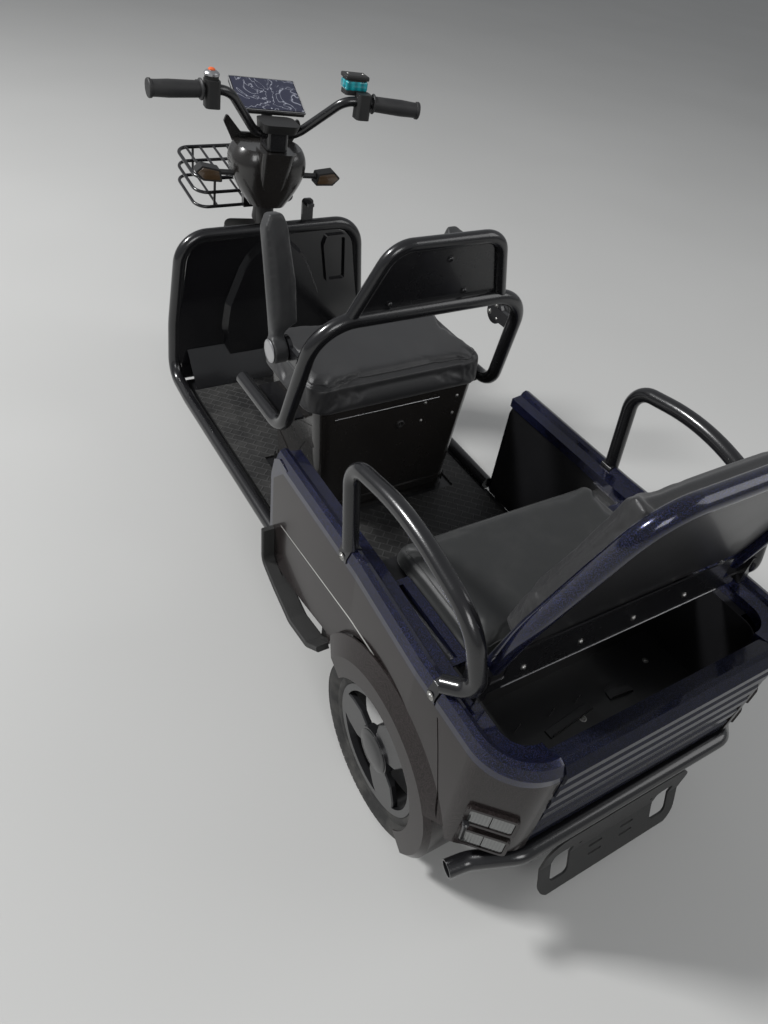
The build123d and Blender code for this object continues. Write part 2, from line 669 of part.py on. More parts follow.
fork = Part()
for side in (1, -1):
    fork += rod(fork_point(side, -18), fork_point(side, 230), 19)
    fork += rod(fork_point(side, 200), fork_point(side, 450), 15)
crown_low = Vector(*fork_point(0, 425))
crown = Plane(origin=crown_low, x_dir=(1, 0, 0), z_dir=(0, sin(radians(rake)), cos(radians(rake))))
fork += extrude(crown * Pos(0, 8, 0) * fillet(Rectangle(184, 54).vertices(), 25), 26)
fork += rod((0, axis_y(560), 560), (0, axis_y(872), 872), steerer / 2 - 0.3)
fork += rod(fork_point(-1.0, 0), fork_point(1.0, 0), hub_bore)
save("fork", turned(fork))

# handlebar, cap, grips and controls
bar_radius = 11.0
bar_half = [(0, -1284, 878), (50, -1284, 879), (142, -1192, 992), (322, -1167, 988)]
bar_points = [(-x, y, z) for x, y, z in reversed(bar_half)][:-1] + bar_half[1:]
handlebar = tube(bar_points, bar_radius, 58)
handlebar += rounded_block(-26, 26, -1322, -1252, 848, 892, 8)
handlebar -= rod((0, axis_y(800), 800), (0, axis_y(873), 873), steerer / 2 + 0.05)
save("handlebar", turned(handlebar))
cap_low = Pos(0, -1276, 892.3) * RectangleRounded(84, 78, 12)
cap_high = Pos(0, -1264, 915) * RectangleRounded(96, 88, 20)
cap = loft([cap_low, cap_high], ruled=True)
cap -= tube(bar_points, bar_radius + 0.4, 58)
cap = cap.solids().sort_by(SortBy.VOLUME)[-1]
save("stem_cap", turned(cap))
grip_radius = 17.0
grip_way = (Vector(*bar_half[3]) - Vector(*bar_half[2])).normalized()
grip_start = Vector(*bar_half[2]) + grip_way * 65
grip_end = grip_start + grip_way * 121
grip = rod(grip_start, grip_end, grip_radius)
grip += rod(grip_start, grip_start + grip_way * 5, grip_radius + 4)
grip += rod(grip_end - grip_way * 6, grip_end, grip_radius + 2)
bar_room = tube(bar_points, bar_radius + 0.05, 58)
grip -= bar_room
save("grips", turned(both(grip)))
control = rounded_block(166, 200, -1206, -1166, 955, 1011, 9)
left_control = control + rod((183, -1191, 1004), (183, -1191, 1023), 16)
left_control += rod((183, -1191, 1021), (183, -1191, 1031), 7)
right_control = other_side(control)
tank = rounded_block(-196, -142, -1239, -1199, 1001, 1041, 9)
tank += block(-190, -170, -1203, -1191, 997, 1011)
right_control += tank
left_control -= bar_room
right_control -= bar_room
save("bar_controls", turned(Compound(children=[left_control, right_control])))
lever = tube([(170, -1199, 991), (196, -1233, 992), (322, -1217, 987)], 5, 14)
lever += rod((196, -1232.5, 992), (210, -1231, 991.7), 6.5)
lever -= control
lever -= tank.mirror(Plane.YZ)
lever = lever.solids().sort_by(SortBy.VOLUME)[-1]
save("brake_levers", turned(both(lever)))

# headlamp shell with its shoulders, lens, display
shell_rows = ((694, 48, 44, -1330), (745, 84, 64, -1338), (800, 100, 76, -1342), (838, 86, 62, -1340))
shell = loft([Pos(0, y, z) * RectangleRounded(2 * half_x, 2 * half_y, min(half_x, half_y) * 0.8)
              for z, half_x, half_y, y in shell_rows], ruled=False)
column = loft([Pos(0, axis_y(z) + 14, z) * RectangleRounded(width, depth, 16)
               for z, width, depth in ((700, 62, 70), (846, 88, 78))], ruled=True)
shell += column
ear = plate(Plane(origin=(0, -1402, 0), x_dir=(-1, 0, 0), z_dir=(0, 1, 0)),
            [(-66, 800), (66, 800), (104, 872), (96, 892), (58, 850), (-58, 850), (-96, 892), (-104, 872)],
            8, 5)
shell += ear
shell -= rod((0, axis_y(640), 640), (0, axis_y(808), 808), 34)
shell -= rod((0, axis_y(640), 640), (0, axis_y(900), 900), steerer / 2 + curve_gap)
lens = rod((0, -1392, 782), (0, -1432, 782), 54)
shell -= rod((0, -1388, 782), (0, -1440, 782), 54 + curve_gap)
stem_top = Vector(0, -1370, 938)
stem_low = Vector(0, -1358, 830)
shell -= rod(stem_low, stem_top, 14 + curve_gap)
stalk_y = -1318.0
stalk_z = 772.0
shell -= both(rod((84, stalk_y, stalk_z), (138, stalk_y, stalk_z), 7 + curve_gap))
shell -= handlebar
save("headlamp_shell", turned(shell))
save("headlamp_lens", turned(lens))
screen_place = Pos(0, -1376, 942) * Rot(-20, 0, 0)
screen = screen_place * fillet(Box(172, 128, 12).edges().filter_by(Axis.Z), 6)
screen += rod(stem_low + Vector(0, 0, 0.4), stem_top, 14)
save("display", turned(screen))

signal = rod((84.4, stalk_y, stalk_z), (140, stalk_y, stalk_z), 7)
pod = [(126, 752), (132, 782), (178, 790), (196, 774), (176, 754)]
pod_plane = Plane(origin=(0, stalk_y - 18, 0), x_dir=(-1, 0, 0), z_dir=(0, 1, 0))
pod_left = plate(pod_plane, [(-x, z) for x, z in pod], 36, 4)
signal += pod_left
signal -= shell
signal = signal.solids().sort_by(SortBy.VOLUME)[-1]
save("turn_signals", turned(both(signal)))

# front fender
fender = Pos(0, front_axle_y, front_wheel_z) * Rot(0, 90, 0) * (Cylinder(204, 96) - Cylinder(201, 120))
fender &= side_shape([(front_axle_y, wheel_z), (front_axle_y - 190, wheel_z + 60), (front_axle_y - 260, 420),
                      (front_axle_y, 460), (front_axle_y + 260, 420), (front_axle_y + 260, wheel_z - 20)],
                     -100, 100)
stay = rod(fork_point(0, 180), fork_point(0, 424.7), 14)
stay -= Pos(0, front_axle_y, front_wheel_z) * Rot(0, 90, 0) * Cylinder(202, 120)
fender += stay
save("front_fender", turned(fender))

# wheels
tyre_rows = ((rim_radius - 12, 0.72), (rim_radius, 0.82), (rim_radius + 20, 1.0),
             (wheel_radius - 7, 0.92), (wheel_radius, 0.48))  # radius, share of the width


def tyre():
    """Tyre about the X axis."""
    right = [(share * tyre_width / 2, radius) for radius, share in tyre_rows]
    left = [(-x, r) for x, r in reversed(right)]
    profile = make_face(Polyline(*right, *left, close=True))
    return revolve(Plane.XY * profile, Axis.X)


rim_inner = rim_radius - 12.0
spoke_outline = [(26, 30), (42, 62), (40, 96), (30, rim_inner - 6), (-30, rim_inner - 6), (-40, 96),
                 (-42, 62), (-26, 30)]  # across, outward


def spoked_face(x0, x1, spokes):
    """Three broad chamfered spokes on a hub, between two X planes."""
    ring = Cylinder(rim_inner, x1 - x0) - Cylinder(rim_inner - 14, x1 - x0 + 2)
    face = Pos((x0 + x1) / 2, 0, 0) * Rot(0, 90, 0) * ring
    plane = Plane(origin=(x0 + 2, 0, 0), x_dir=(0, 1, 0), z_dir=(1, 0, 0))
    for turn in spokes:
        spoke = plate(plane, spoke_outline, x1 - x0 - 2, 7)
        spoke = chamfer(spoke.faces().sort_by(Axis.X)[-1].edges(), 2.5)
        face += Rot(turn, 0, 0) * spoke
    face += Pos((x0 + x1) / 2 + 2, 0, 0) * Rot(0, 90, 0) * Cylinder(48, x1 - x0 + 4)
    return face


def rim(cover_side):
    """Rim with a barrel, and three broad spokes on its outer side, or on both for the front."""
    half = 0.36 * tyre_width
    body = Rot(0, 90, 0) * (Cylinder(rim_inner, 2 * half) - Cylinder(rim_inner - 8, 2 * half + 4))
    body += Rot(0, 90, 0) * Cylinder(40, 50)
    outer = spoked_face(half - 12, half + 2, (90, 210, 330))
    if cover_side >= 0:
        body += outer
    if cover_side <= 0:
        body += other_side(outer)
    return body - Rot(0, 90, 0) * Cylinder(hub_bore + pin_gap, 120)


front_tyre = Pos(0, front_axle_y, front_wheel_z) * tyre()
save("front_tyre", turned(front_tyre))
save("front_rim", turned(Pos(0, front_axle_y, front_wheel_z) * rim(0)))
for name, side in (("left", 1), ("right", -1)):
    place = Pos(side * rear_wheel_x, 0, wheel_z)
    save("rear_" + name + "_tyre", place * tyre())
    save("rear_" + name + "_rim", place * rim(side))

# driver's seat, hinged at the front edge on two knuckles
seat = rounded_block(-seat_half_width, seat_half_width, seat_box_front - 7, footwell_front + 9,
                     seat_box_top + 0.5, seat_top, 50)
seat_edges = seat.edges().group_by(Axis.Z)[-1]
seat = fillet(seat_edges, 14)
for pin_x in (-76, 76):
    seat += block(pin_x - 18, pin_x + 18, lid_axis_y - 4, seat_box_front - 1, lid_axis_z + 2, seat_box_top + 3)
    seat += rod((pin_x - 18, lid_axis_y, lid_axis_z), (pin_x + 18, lid_axis_y, lid_axis_z), 8)
    seat -= rod((pin_x - 19, lid_axis_y, lid_axis_z), (pin_x + 19, lid_axis_y, lid_axis_z), lid_pin + pin_gap)
save("driver_seat", seat)

arm_disc_x = 267.0
arm_side_x = arm_outer_x - 6
# armrests: across and along each pad, from its heel to its tip
arm_rows = [(arm_side_x, 12), (arm_side_x, arm_length - 24), (arm_side_x - 12, arm_length),
            (arm_inner_x + 20, arm_length), (arm_inner_x + 10, arm_length - 22),
            (arm_inner_x, arm_length / 2), (arm_inner_x + 4, 50), (arm_disc_x, 34), (arm_disc_x, 12)]


def arm(angle):
    """Left armrest raised by an angle above straight ahead."""
    pad_plane = Plane(origin=(0, 0, -24), x_dir=(1, 0, 0), z_dir=(0, 0, 1))
    pad = plate(pad_plane, [(x, -along) for x, along in arm_rows], 38, 5)
    pad = chamfer(pad.faces().sort_by(Axis.Z)[-1].edges() + pad.faces().sort_by(Axis.Z)[0].edges(), 4)
    pad += rod((arm_disc_x, 0, 0), (arm_outer_x, 0, 0), 27)
    pad -= rod((260, 0, 0), (arm_outer_x - 9.5, 0, 0), arm_pin + pin_gap)
    return Pos(0, pivot_y, pivot_z) * Rot(-angle, 0, 0) * pad


save("arm_left", arm(arm_up))
save("arm_right", other_side(arm(arm_right_at_rest)))

# folding rear backrest
lean = radians(backrest_lean)


def rest_point(x, up, ahead=0.0):
    """Point on the leaning backrest plane, up from the hinge line."""
    return (x, backrest_hinge_y + up * sin(lean) - ahead * cos(lean),
            backrest_hinge_z + up * cos(lean) + ahead * sin(lean))


rest_half = [rest_point(268, 0), rest_point(268, 120), rest_point(206, backrest_height)]
rest_points = rest_half + [(-x, y, z) for x, y, z in reversed(rest_half)]
rest_bends = [300, 76, 76, 300]
rest_frame = tube(rest_points, 15, rest_bends)
rest_room = tube(rest_points, 15 + curve_gap, rest_bends)
for side in (1, -1):
    rest_frame += rod((side * 268, backrest_hinge_y, backrest_hinge_z),
                      (side * hinge_pin_end, backrest_hinge_y, backrest_hinge_z), hinge_pin)
save("backrest_frame", rest_frame)
ahead_way = (0, -cos(lean), sin(lean))
plate_points = [(-256, 40), (256, 40), (256, 130), (200, 362), (-200, 362), (-256, 130)]
pad_points = [(-252, 44), (252, 44), (252, 130), (196, 352), (-196, 352), (-252, 130)]
rest_plane = Plane(origin=rest_point(0, 0), x_dir=(1, 0, 0), z_dir=ahead_way)
rest_plate = plate(rest_plane, plate_points, 3) - rest_room
save("backrest_plate", rest_plate.solids().sort_by(SortBy.VOLUME)[-1])
pad_plane = Plane(origin=rest_point(0, 0, 3.3), x_dir=(1, 0, 0), z_dir=ahead_way)
rest_pad = plate(pad_plane, pad_points, 45, 14) - rest_room
save("backrest_pad", rest_pad.solids().sort_by(SortBy.VOLUME)[-1])
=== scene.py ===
import bpy
import bmesh
from math import atan2, cos, pi, radians, sin, sqrt
from mathutils import Euler, Matrix, Vector


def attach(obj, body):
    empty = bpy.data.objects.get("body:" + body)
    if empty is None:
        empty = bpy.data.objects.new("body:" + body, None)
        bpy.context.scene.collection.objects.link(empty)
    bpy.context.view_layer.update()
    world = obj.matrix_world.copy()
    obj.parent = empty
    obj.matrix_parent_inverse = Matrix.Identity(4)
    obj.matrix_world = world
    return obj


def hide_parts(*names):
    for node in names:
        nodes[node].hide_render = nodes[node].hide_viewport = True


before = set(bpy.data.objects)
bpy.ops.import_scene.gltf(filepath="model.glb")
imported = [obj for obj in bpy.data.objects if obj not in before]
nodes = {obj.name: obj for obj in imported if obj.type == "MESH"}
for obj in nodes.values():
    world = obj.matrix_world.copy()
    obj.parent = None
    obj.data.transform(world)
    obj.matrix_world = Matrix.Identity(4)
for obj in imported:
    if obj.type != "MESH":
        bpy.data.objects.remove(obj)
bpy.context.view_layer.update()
axleLine = 0.7175  # where the rear axle lies along Y
print("frame loaded:", len(nodes), "nodes")


class Signal:
    # a socket that takes part in ordinary arithmetic
    def __init__(self, finish, socket):
        self.finish = finish
        self.socket = socket

    def maths(self, operation, a, b):
        return self.finish.node("ShaderNodeMath", {"operation": operation}, {0: a, 1: b})

    def __add__(self, other):
        return self.maths("ADD", self, other)

    def __radd__(self, other):
        return self.maths("ADD", other, self)

    def __sub__(self, other):
        return self.maths("SUBTRACT", self, other)

    def __rsub__(self, other):
        return self.maths("SUBTRACT", other, self)

    def __mul__(self, other):
        return self.maths("MULTIPLY", self, other)

    def __rmul__(self, other):
        return self.maths("MULTIPLY", other, self)

    def __gt__(self, other):
        return self.maths("GREATER_THAN", self, other)


class Finish:
    # one material with its nodes
    def __init__(self, name):
        self.material = bpy.data.materials.new(name)
        self.material.use_nodes = True
        self.tree = self.material.node_tree
        self.tree.nodes.clear()
        self.place = None

    def node(self, kind, settings=None, inputs=None, output=0):
        made = self.tree.nodes.new(kind)
        for key, value in (settings or {}).items():
            if key == "stops":
                ramp = made.color_ramp
                while len(ramp.elements) < len(value):
                    ramp.elements.new(0.5)
                for element, (position, shade) in zip(ramp.elements, value):
                    element.position = position
                    element.color = (*shade, 1.0) if len(shade) == 3 else (shade[0],) * 3 + (1.0,)
            else:
                setattr(made, key, value)
        for key, value in (inputs or {}).items():
            self.feed(made.inputs[key], value)
        return Signal(self, made.outputs[output])

    def feed(self, socket, value):
        if isinstance(value, Signal):
            self.tree.links.new(value.socket, socket)
        elif isinstance(value, (tuple, list)) and len(value) == 3 and socket.type == "RGBA":
            socket.default_value = (*value, 1.0)
        else:
            socket.default_value = value

    def coords(self, turn=None):
        # object coordinates, turned about Z by an angle in degrees
        if self.place is None:
            self.place = self.node("ShaderNodeTexCoord", output="Object")
        if turn is None:
            return self.place
        return self.node("ShaderNodeMapping", None, {"Vector": self.place, "Rotation": (0, 0, radians(turn))})

    def noise(self, scale, detail=3.0, rough=0.55):
        return self.node("ShaderNodeTexNoise", None,
                         {"Vector": self.coords(), "Scale": scale, "Detail": detail, "Roughness": rough})

    def cells(self, scale, output="Distance"):
        return self.node("ShaderNodeTexVoronoi", None, {"Vector": self.coords(), "Scale": scale}, output)

    def ramp(self, signal, stops):
        return self.node("ShaderNodeValToRGB", {"stops": stops}, {"Fac": signal})

    def mix(self, factor, a, b):
        made = self.tree.nodes.new("ShaderNodeMix")
        made.data_type = "RGBA"
        self.feed(made.inputs["Factor"], factor)
        self.feed(made.inputs[6], a)
        self.feed(made.inputs[7], b)
        return Signal(self, made.outputs[2])

    def bump(self, height, distance, strength=1.0):
        return self.node("ShaderNodeBump", None,
                         {"Height": height, "Distance": distance, "Strength": strength})

    def done(self, **sockets):
        made = self.tree.nodes.new("ShaderNodeBsdfPrincipled")
        for key, value in sockets.items():
            self.feed(made.inputs[key.replace("_", " ")], value)
        out = self.tree.nodes.new("ShaderNodeOutputMaterial")
        self.tree.links.new(made.outputs[0], out.inputs[0])
        return self.material


paintLooks = {
    "railPaint": {"base": (0.004, 0.005, 0.010), "flake": (0.034, 0.050, 0.190),
                  "warm": (0.062, 0.048, 0.110), "flakeSize": 1500, "flakeShare": 0.27, "metal": 0.50,
                  "rough": 0.20, "dust": 0.02, "coat": 0.55, "gloss": 0.35},
    "panelPaint": {"base": (0.013, 0.011, 0.010), "flake": (0.060, 0.050, 0.050),
                   "warm": (0.075, 0.050, 0.060), "flakeSize": 1700, "flakeShare": 0.22, "metal": 0.10,
                   "rough": 0.20, "dust": 0.02, "coat": 0.22, "gloss": 0.18},
    "backPaint": {"base": (0.005, 0.006, 0.010), "flake": (0.022, 0.028, 0.080),
                  "warm": (0.032, 0.027, 0.046), "flakeSize": 1600, "flakeShare": 0.28, "metal": 0.15,
                  "rough": 0.18, "dust": 0.02, "coat": 0.28, "gloss": 0.20},
}


def paint(name, look):
    # dark paint with two colours of flake under a clear coat
    f = Finish(name)
    pick = f.node("ShaderNodeSeparateColor", None, {"Color": f.cells(look["flakeSize"], "Color")})
    hue = f.node("ShaderNodeSeparateColor", None, {"Color": f.cells(look["flakeSize"], "Color")}, "Green")
    chosen = pick > (1 - look["flakeShare"])
    flake = f.mix(hue > 0.6, look["flake"], look["warm"])
    drift = f.noise(3.0, 2.0)
    base = f.mix(chosen * (0.25 + 0.75 * drift), look["base"], flake)
    dusty = f.ramp(f.noise(7.0, 7.0, 0.68), [(0.48, (0.0,)), (0.78, (1.0,))])
    colour = f.mix(dusty * look["dust"], base, (0.30, 0.28, 0.25))
    peel = f.bump(f.noise(240.0, 2.0), 0.0003, 0.07)
    return f.done(Base_Color=colour, Metallic=look["metal"], Roughness=look["rough"] + dusty * 0.10,
                  Normal=peel, Coat_Weight=look["coat"], Coat_Roughness=0.05,
                  Specular_IOR_Level=look["gloss"])


coatLooks = {
    "tubeBlack": {"dark": (0.005, 0.005, 0.006), "light": (0.011, 0.011, 0.012), "patch": 6, "wear": 0.06,
                  "grain": 420, "grainDepth": 0.0003, "rough": 0.20, "coat": 0.4},
    "chassisBlack": {"dark": (0.006, 0.006, 0.006), "light": (0.014, 0.013, 0.012), "patch": 5, "wear": 0.30,
                     "grain": 300, "grainDepth": 0.0006, "rough": 0.46},
    "sheetBlack": {"dark": (0.006, 0.006, 0.007), "light": (0.012, 0.012, 0.013), "patch": 4, "wear": 0.16,
                   "grain": 500, "grainDepth": 0.0003, "rough": 0.30, "coat": 0.15},
    "shieldGloss": {"dark": (0.004, 0.004, 0.005), "light": (0.008, 0.008, 0.009), "patch": 3, "wear": 0.08,
                    "grain": 120, "grainDepth": 0.0002, "rough": 0.10, "coat": 0.7},
    "plasticBlack": {"dark": (0.008, 0.008, 0.008), "light": (0.018, 0.018, 0.018), "patch": 8, "wear": 0.08,
                     "grain": 900, "grainDepth": 0.0006, "rough": 0.44},
    "stepPlastic": {"dark": (0.010, 0.010, 0.010), "light": (0.026, 0.026, 0.025), "patch": 9, "wear": 0.25,
                    "grain": 330, "grainDepth": 0.0018, "rough": 0.55},
    "boxPlastic": {"dark": (0.010, 0.009, 0.008), "light": (0.019, 0.017, 0.016), "patch": 6, "wear": 0.12,
                   "grain": 700, "grainDepth": 0.0003, "rough": 0.20, "coat": 0.5},
    "rimBlack": {"dark": (0.007, 0.007, 0.008), "light": (0.016, 0.016, 0.017), "patch": 7, "wear": 0.12,
                 "grain": 380, "grainDepth": 0.0003, "rough": 0.26, "coat": 0.4},
    "alloy": {"dark": (0.42, 0.42, 0.43), "light": (0.60, 0.60, 0.61), "patch": 20, "wear": 0.20,
              "grain": 600, "grainDepth": 0.0003, "rough": 0.26, "metal": 1.0},
    "zinc": {"dark": (0.30, 0.30, 0.29), "light": (0.50, 0.49, 0.47), "patch": 60, "wear": 0.35,
             "grain": 900, "grainDepth": 0.0003, "rough": 0.34, "metal": 1.0},
    "maskGrey": {"dark": (0.10, 0.10, 0.10), "light": (0.17, 0.17, 0.17), "patch": 12, "wear": 0.15,
                 "grain": 700, "grainDepth": 0.0003, "rough": 0.32, "metal": 0.3},
    "stripeFilm": {"dark": (0.34, 0.34, 0.32), "light": (0.50, 0.50, 0.48), "patch": 30, "wear": 0.5,
                   "grain": 900, "grainDepth": 0.0001, "rough": 0.30},
    "orangeKnob": {"dark": (0.62, 0.10, 0.025), "light": (0.80, 0.17, 0.05), "patch": 50, "wear": 0.3,
                   "grain": 800, "grainDepth": 0.0002, "rough": 0.30},
    "rustWire": {"dark": (0.26, 0.060, 0.025), "light": (0.40, 0.11, 0.045), "patch": 40, "wear": 0.3,
                 "grain": 700, "grainDepth": 0.0003, "rough": 0.45},
    "amberLens": {"dark": (0.050, 0.030, 0.016), "light": (0.085, 0.052, 0.026), "patch": 60, "wear": 0.1,
                  "grain": 400, "grainDepth": 0.0006, "rough": 0.15, "coat": 0.8},
}


def blackCoat(name, look):
    f = Finish(name)
    patchy = f.noise(look["patch"], 5.0, 0.6)
    colour = f.mix(patchy, look["dark"], look["light"])
    wear = f.ramp(f.noise(55.0, 8.0, 0.7), [(0.62, (0.0,)), (0.82, (1.0,))])
    pale = max(look["light"]) * 1.6 + 0.05
    colour = f.mix(wear * look["wear"], colour, (pale, pale, pale * 0.97))
    grain = f.bump(f.noise(look["grain"], 3.0), look["grainDepth"], 0.35)
    return f.done(Base_Color=colour, Roughness=look["rough"] + patchy * 0.12 + wear * 0.1, Normal=grain,
                  Metallic=look.get("metal", 0.0), Coat_Weight=look.get("coat", 0.0), Coat_Roughness=0.08)


vinylLooks = {
    "seatVinyl": {"grain": 950, "dark": (0.011, 0.011, 0.012), "light": (0.019, 0.019, 0.020), "rough": 0.36,
                  "depth": 0.0006, "dust": 0.10},
    "benchVinyl": {"grain": 1200, "dark": (0.013, 0.014, 0.014), "light": (0.021, 0.022, 0.022),
                   "rough": 0.44, "depth": 0.0004, "dust": 0.16},
    "padFoam": {"grain": 700, "dark": (0.010, 0.010, 0.011), "light": (0.018, 0.019, 0.020), "rough": 0.42,
                "depth": 0.0007, "dust": 0.14},
    "thread": {"grain": 2600, "dark": (0.012, 0.012, 0.012), "light": (0.030, 0.030, 0.030), "rough": 0.60,
               "depth": 0.0005, "dust": 0.20},
}


def vinyl(name, look):
    f = Finish(name)
    pores = f.cells(look["grain"])
    wrinkle = f.noise(60.0, 6.0, 0.6)
    colour = f.mix(f.noise(7.0, 3.0), look["dark"], look["light"])
    dusty = f.ramp(f.noise(11.0, 8.0, 0.7), [(0.50, (0.0,)), (0.80, (1.0,))])
    colour = f.mix(dusty * look["dust"], colour, (0.11, 0.105, 0.10))
    height = pores * 0.6 + wrinkle * 0.4
    return f.done(Base_Color=colour, Roughness=look["rough"] + pores * 0.14 + dusty * 0.08,
                  Normal=f.bump(height, look["depth"], 0.4), Sheen_Weight=0.10, Sheen_Roughness=0.5)


rubberLooks = {
    "tyreRubber": {"base": (0.012, 0.012, 0.012), "dust": 0.50, "rough": 0.66},
    "gripRubber": {"base": (0.016, 0.016, 0.017), "dust": 0.10, "rough": 0.50},
    "cableRubber": {"base": (0.008, 0.008, 0.008), "dust": 0.06, "rough": 0.42},
}


def rubber(name, look):
    f = Finish(name)
    dust = f.ramp(f.noise(16.0, 8.0, 0.7), [(0.42, (0.0,)), (0.74, (1.0,))])
    colour = f.mix(dust * look["dust"], look["base"], (0.13, 0.125, 0.115))
    return f.done(Base_Color=colour, Roughness=look["rough"] + dust * 0.15,
                  Normal=f.bump(f.noise(600.0, 3.0), 0.0005, 0.4))


matLook = {"width": 0.030, "row": 0.021, "ridge": 0.0022, "dust": 0.30}


def scaleMat(name, look):
    # raised outlines laid like bricks over the rubber
    f = Finish(name)
    bent = f.node("ShaderNodeVectorMath", {"operation": "MULTIPLY_ADD"},
                  {0: f.noise(30.0, 2.0), 1: (0.004, 0.004, 0.0), 2: f.coords(45)})
    ridges = f.node("ShaderNodeTexBrick", {"offset": 0.5},
                    {"Vector": bent, "Scale": 1.0, "Mortar Size": look["ridge"], "Mortar Smooth": 0.5,
                     "Brick Width": look["width"], "Row Height": look["row"]}, "Fac")
    dust = f.ramp(f.noise(12.0, 8.0, 0.7), [(0.40, (0.0,)), (0.78, (1.0,))])
    colour = f.mix(ridges, (0.014, 0.014, 0.014), (0.040, 0.040, 0.040))
    colour = f.mix(dust * look["dust"], colour, (0.10, 0.097, 0.090))
    return f.done(Base_Color=colour, Roughness=0.50 + dust * 0.25 - ridges * 0.12,
                  Normal=f.bump(ridges, look["ridge"], 0.8))


filmLook = {"ground": (0.010, 0.012, 0.036), "vein": (0.50, 0.52, 0.60), "size": 13.0}


def screenFilm(name, look):
    # pale swirling veins of light in a dark film
    f = Finish(name)
    swirl = f.node("ShaderNodeTexNoise", None, {"Vector": f.coords(), "Scale": look["size"], "Detail": 2.0,
                                                "Roughness": 0.55, "Distortion": 2.4})
    veins = f.ramp(swirl, [(0.470, (0.0,)), (0.490, (1.0,)), (0.510, (0.10,)), (0.540, (0.0,))])
    colour = f.mix(veins * (0.35 + 0.65 * f.noise(34.0, 3.0)), look["ground"], look["vein"])
    return f.done(Base_Color=colour, Roughness=0.14 + veins * 0.15, Coat_Weight=0.8, Coat_Roughness=0.03,
                  Normal=f.bump(veins, 0.0003, 0.3))


lensLooks = {
    "lampGlass": {"low": (0.045, 0.047, 0.046), "high": (0.15, 0.155, 0.15), "ribs": 60.0, "metal": 0.35},
    "headGlass": {"low": (0.28, 0.29, 0.30), "high": (0.62, 0.63, 0.64), "ribs": 40.0, "metal": 0.45},
    "fluidGlass": {"low": (0.000, 0.110, 0.140), "high": (0.010, 0.420, 0.480), "ribs": 24.0, "metal": 0.05},
}


def lensGlass(name, look):
    f = Finish(name)
    ribs = f.node("ShaderNodeTexWave", {"wave_type": "BANDS", "bands_direction": "X"},
                  {"Vector": f.coords(45), "Scale": look["ribs"], "Distortion": 0.6}, "Fac")
    colour = f.mix(ribs * 0.6 + 0.4 * f.noise(30.0, 2.0), look["low"], look["high"])
    return f.done(Base_Color=colour, Roughness=0.10 + ribs * 0.08, Metallic=look["metal"],
                  Coat_Weight=1.0, Coat_Roughness=0.03, Normal=f.bump(ribs, 0.0008, 0.5))


finishes = {name: paint(name, look) for name, look in paintLooks.items()}
finishes.update({name: blackCoat(name, look) for name, look in coatLooks.items()})
finishes.update({name: vinyl(name, look) for name, look in vinylLooks.items()})
finishes.update({name: rubber(name, look) for name, look in rubberLooks.items()})
finishes.update({name: lensGlass(name, look) for name, look in lensLooks.items()})
finishes["scaleMat"] = scaleMat("scaleMat", matLook)
finishes["screenFilm"] = screenFilm("screenFilm", filmLook)
print("finishes made:", len(finishes))

# which finish each solid of the frame wears
nodeFinishes = {
    "frame": "chassisBlack", "shield_loop": "tubeBlack", "leg_shield": "shieldGloss",
    "floor_board": "sheetBlack", "floor_mats": "scaleMat", "seat_box": "boxPlastic",
    "seat_hoop": "tubeBlack", "driver_back_pad": "seatVinyl", "side_panel_left": "panelPaint",
    "side_panel_right": "panelPaint", "top_rails": "railPaint", "rear_rim": "railPaint",
    "inner_tub": "sheetBlack", "rear_panel": "backPaint", "tail_lamps": "lampGlass",
    "grab_rails": "tubeBlack", "bench_cushion": "benchVinyl", "rear_bumper": "tubeBlack",
    "plate_board": "plasticBlack", "rear_axle": "chassisBlack", "side_steps": "stepPlastic",
    "front_basket": "tubeBlack", "fork": "chassisBlack", "handlebar": "tubeBlack",
    "stem_cap": "plasticBlack", "headlamp_shell": "boxPlastic", "headlamp_lens": "headGlass",
    "display": "plasticBlack", "grips": "gripRubber", "bar_controls": "plasticBlack",
    "brake_levers": "sheetBlack", "turn_signals": "plasticBlack", "front_fender": "shieldGloss",
    "front_tyre": "tyreRubber", "front_rim": "rimBlack", "rear_left_tyre": "tyreRubber",
    "rear_left_rim": "rimBlack", "rear_right_tyre": "tyreRubber", "rear_right_rim": "rimBlack",
    "driver_seat": "seatVinyl", "arm_left": "padFoam", "arm_right": "padFoam",
    "backrest_frame": "railPaint", "backrest_plate": "sheetBlack", "backrest_pad": "seatVinyl",
}
for nodeName, finishName in nodeFinishes.items():
    mesh = nodes[nodeName].data
    mesh.materials.clear()
    mesh.materials.append(finishes[finishName])
print("frame solids dressed")


# every shape below is drawn from the rear axle line, in metres, and moved to the frame's place here
steerLook = {"at": (0, -1.262, 0.897), "rake": 22.0, "rest": -8.0}
steerLine = Vector((0, sin(radians(steerLook["rake"])), cos(radians(steerLook["rake"]))))
steerTurn = (Matrix.Translation(steerLook["at"]) @ Matrix.Rotation(radians(steerLook["rest"]), 4, steerLine)
             @ Matrix.Translation(-Vector(steerLook["at"])))
frameMove = Matrix.Translation((0, axleLine, 0))


def showPiece(name, shape, finish, body, swaps=(), sharp=35, steered=False):
    bmesh.ops.transform(shape, matrix=frameMove @ steerTurn if steered else frameMove, verts=shape.verts)
    mesh = bpy.data.meshes.new(name)
    shape.to_mesh(mesh)
    shape.free()
    mesh.materials.append(finishes[finish])
    mesh.polygons.foreach_set("use_smooth", [True] * len(mesh.polygons))
    mesh.set_sharp_from_angle(angle=radians(sharp))
    piece = bpy.data.objects.new(name, mesh)
    bpy.context.scene.collection.objects.link(piece)
    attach(piece, body)
    if swaps:
        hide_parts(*swaps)
    return piece


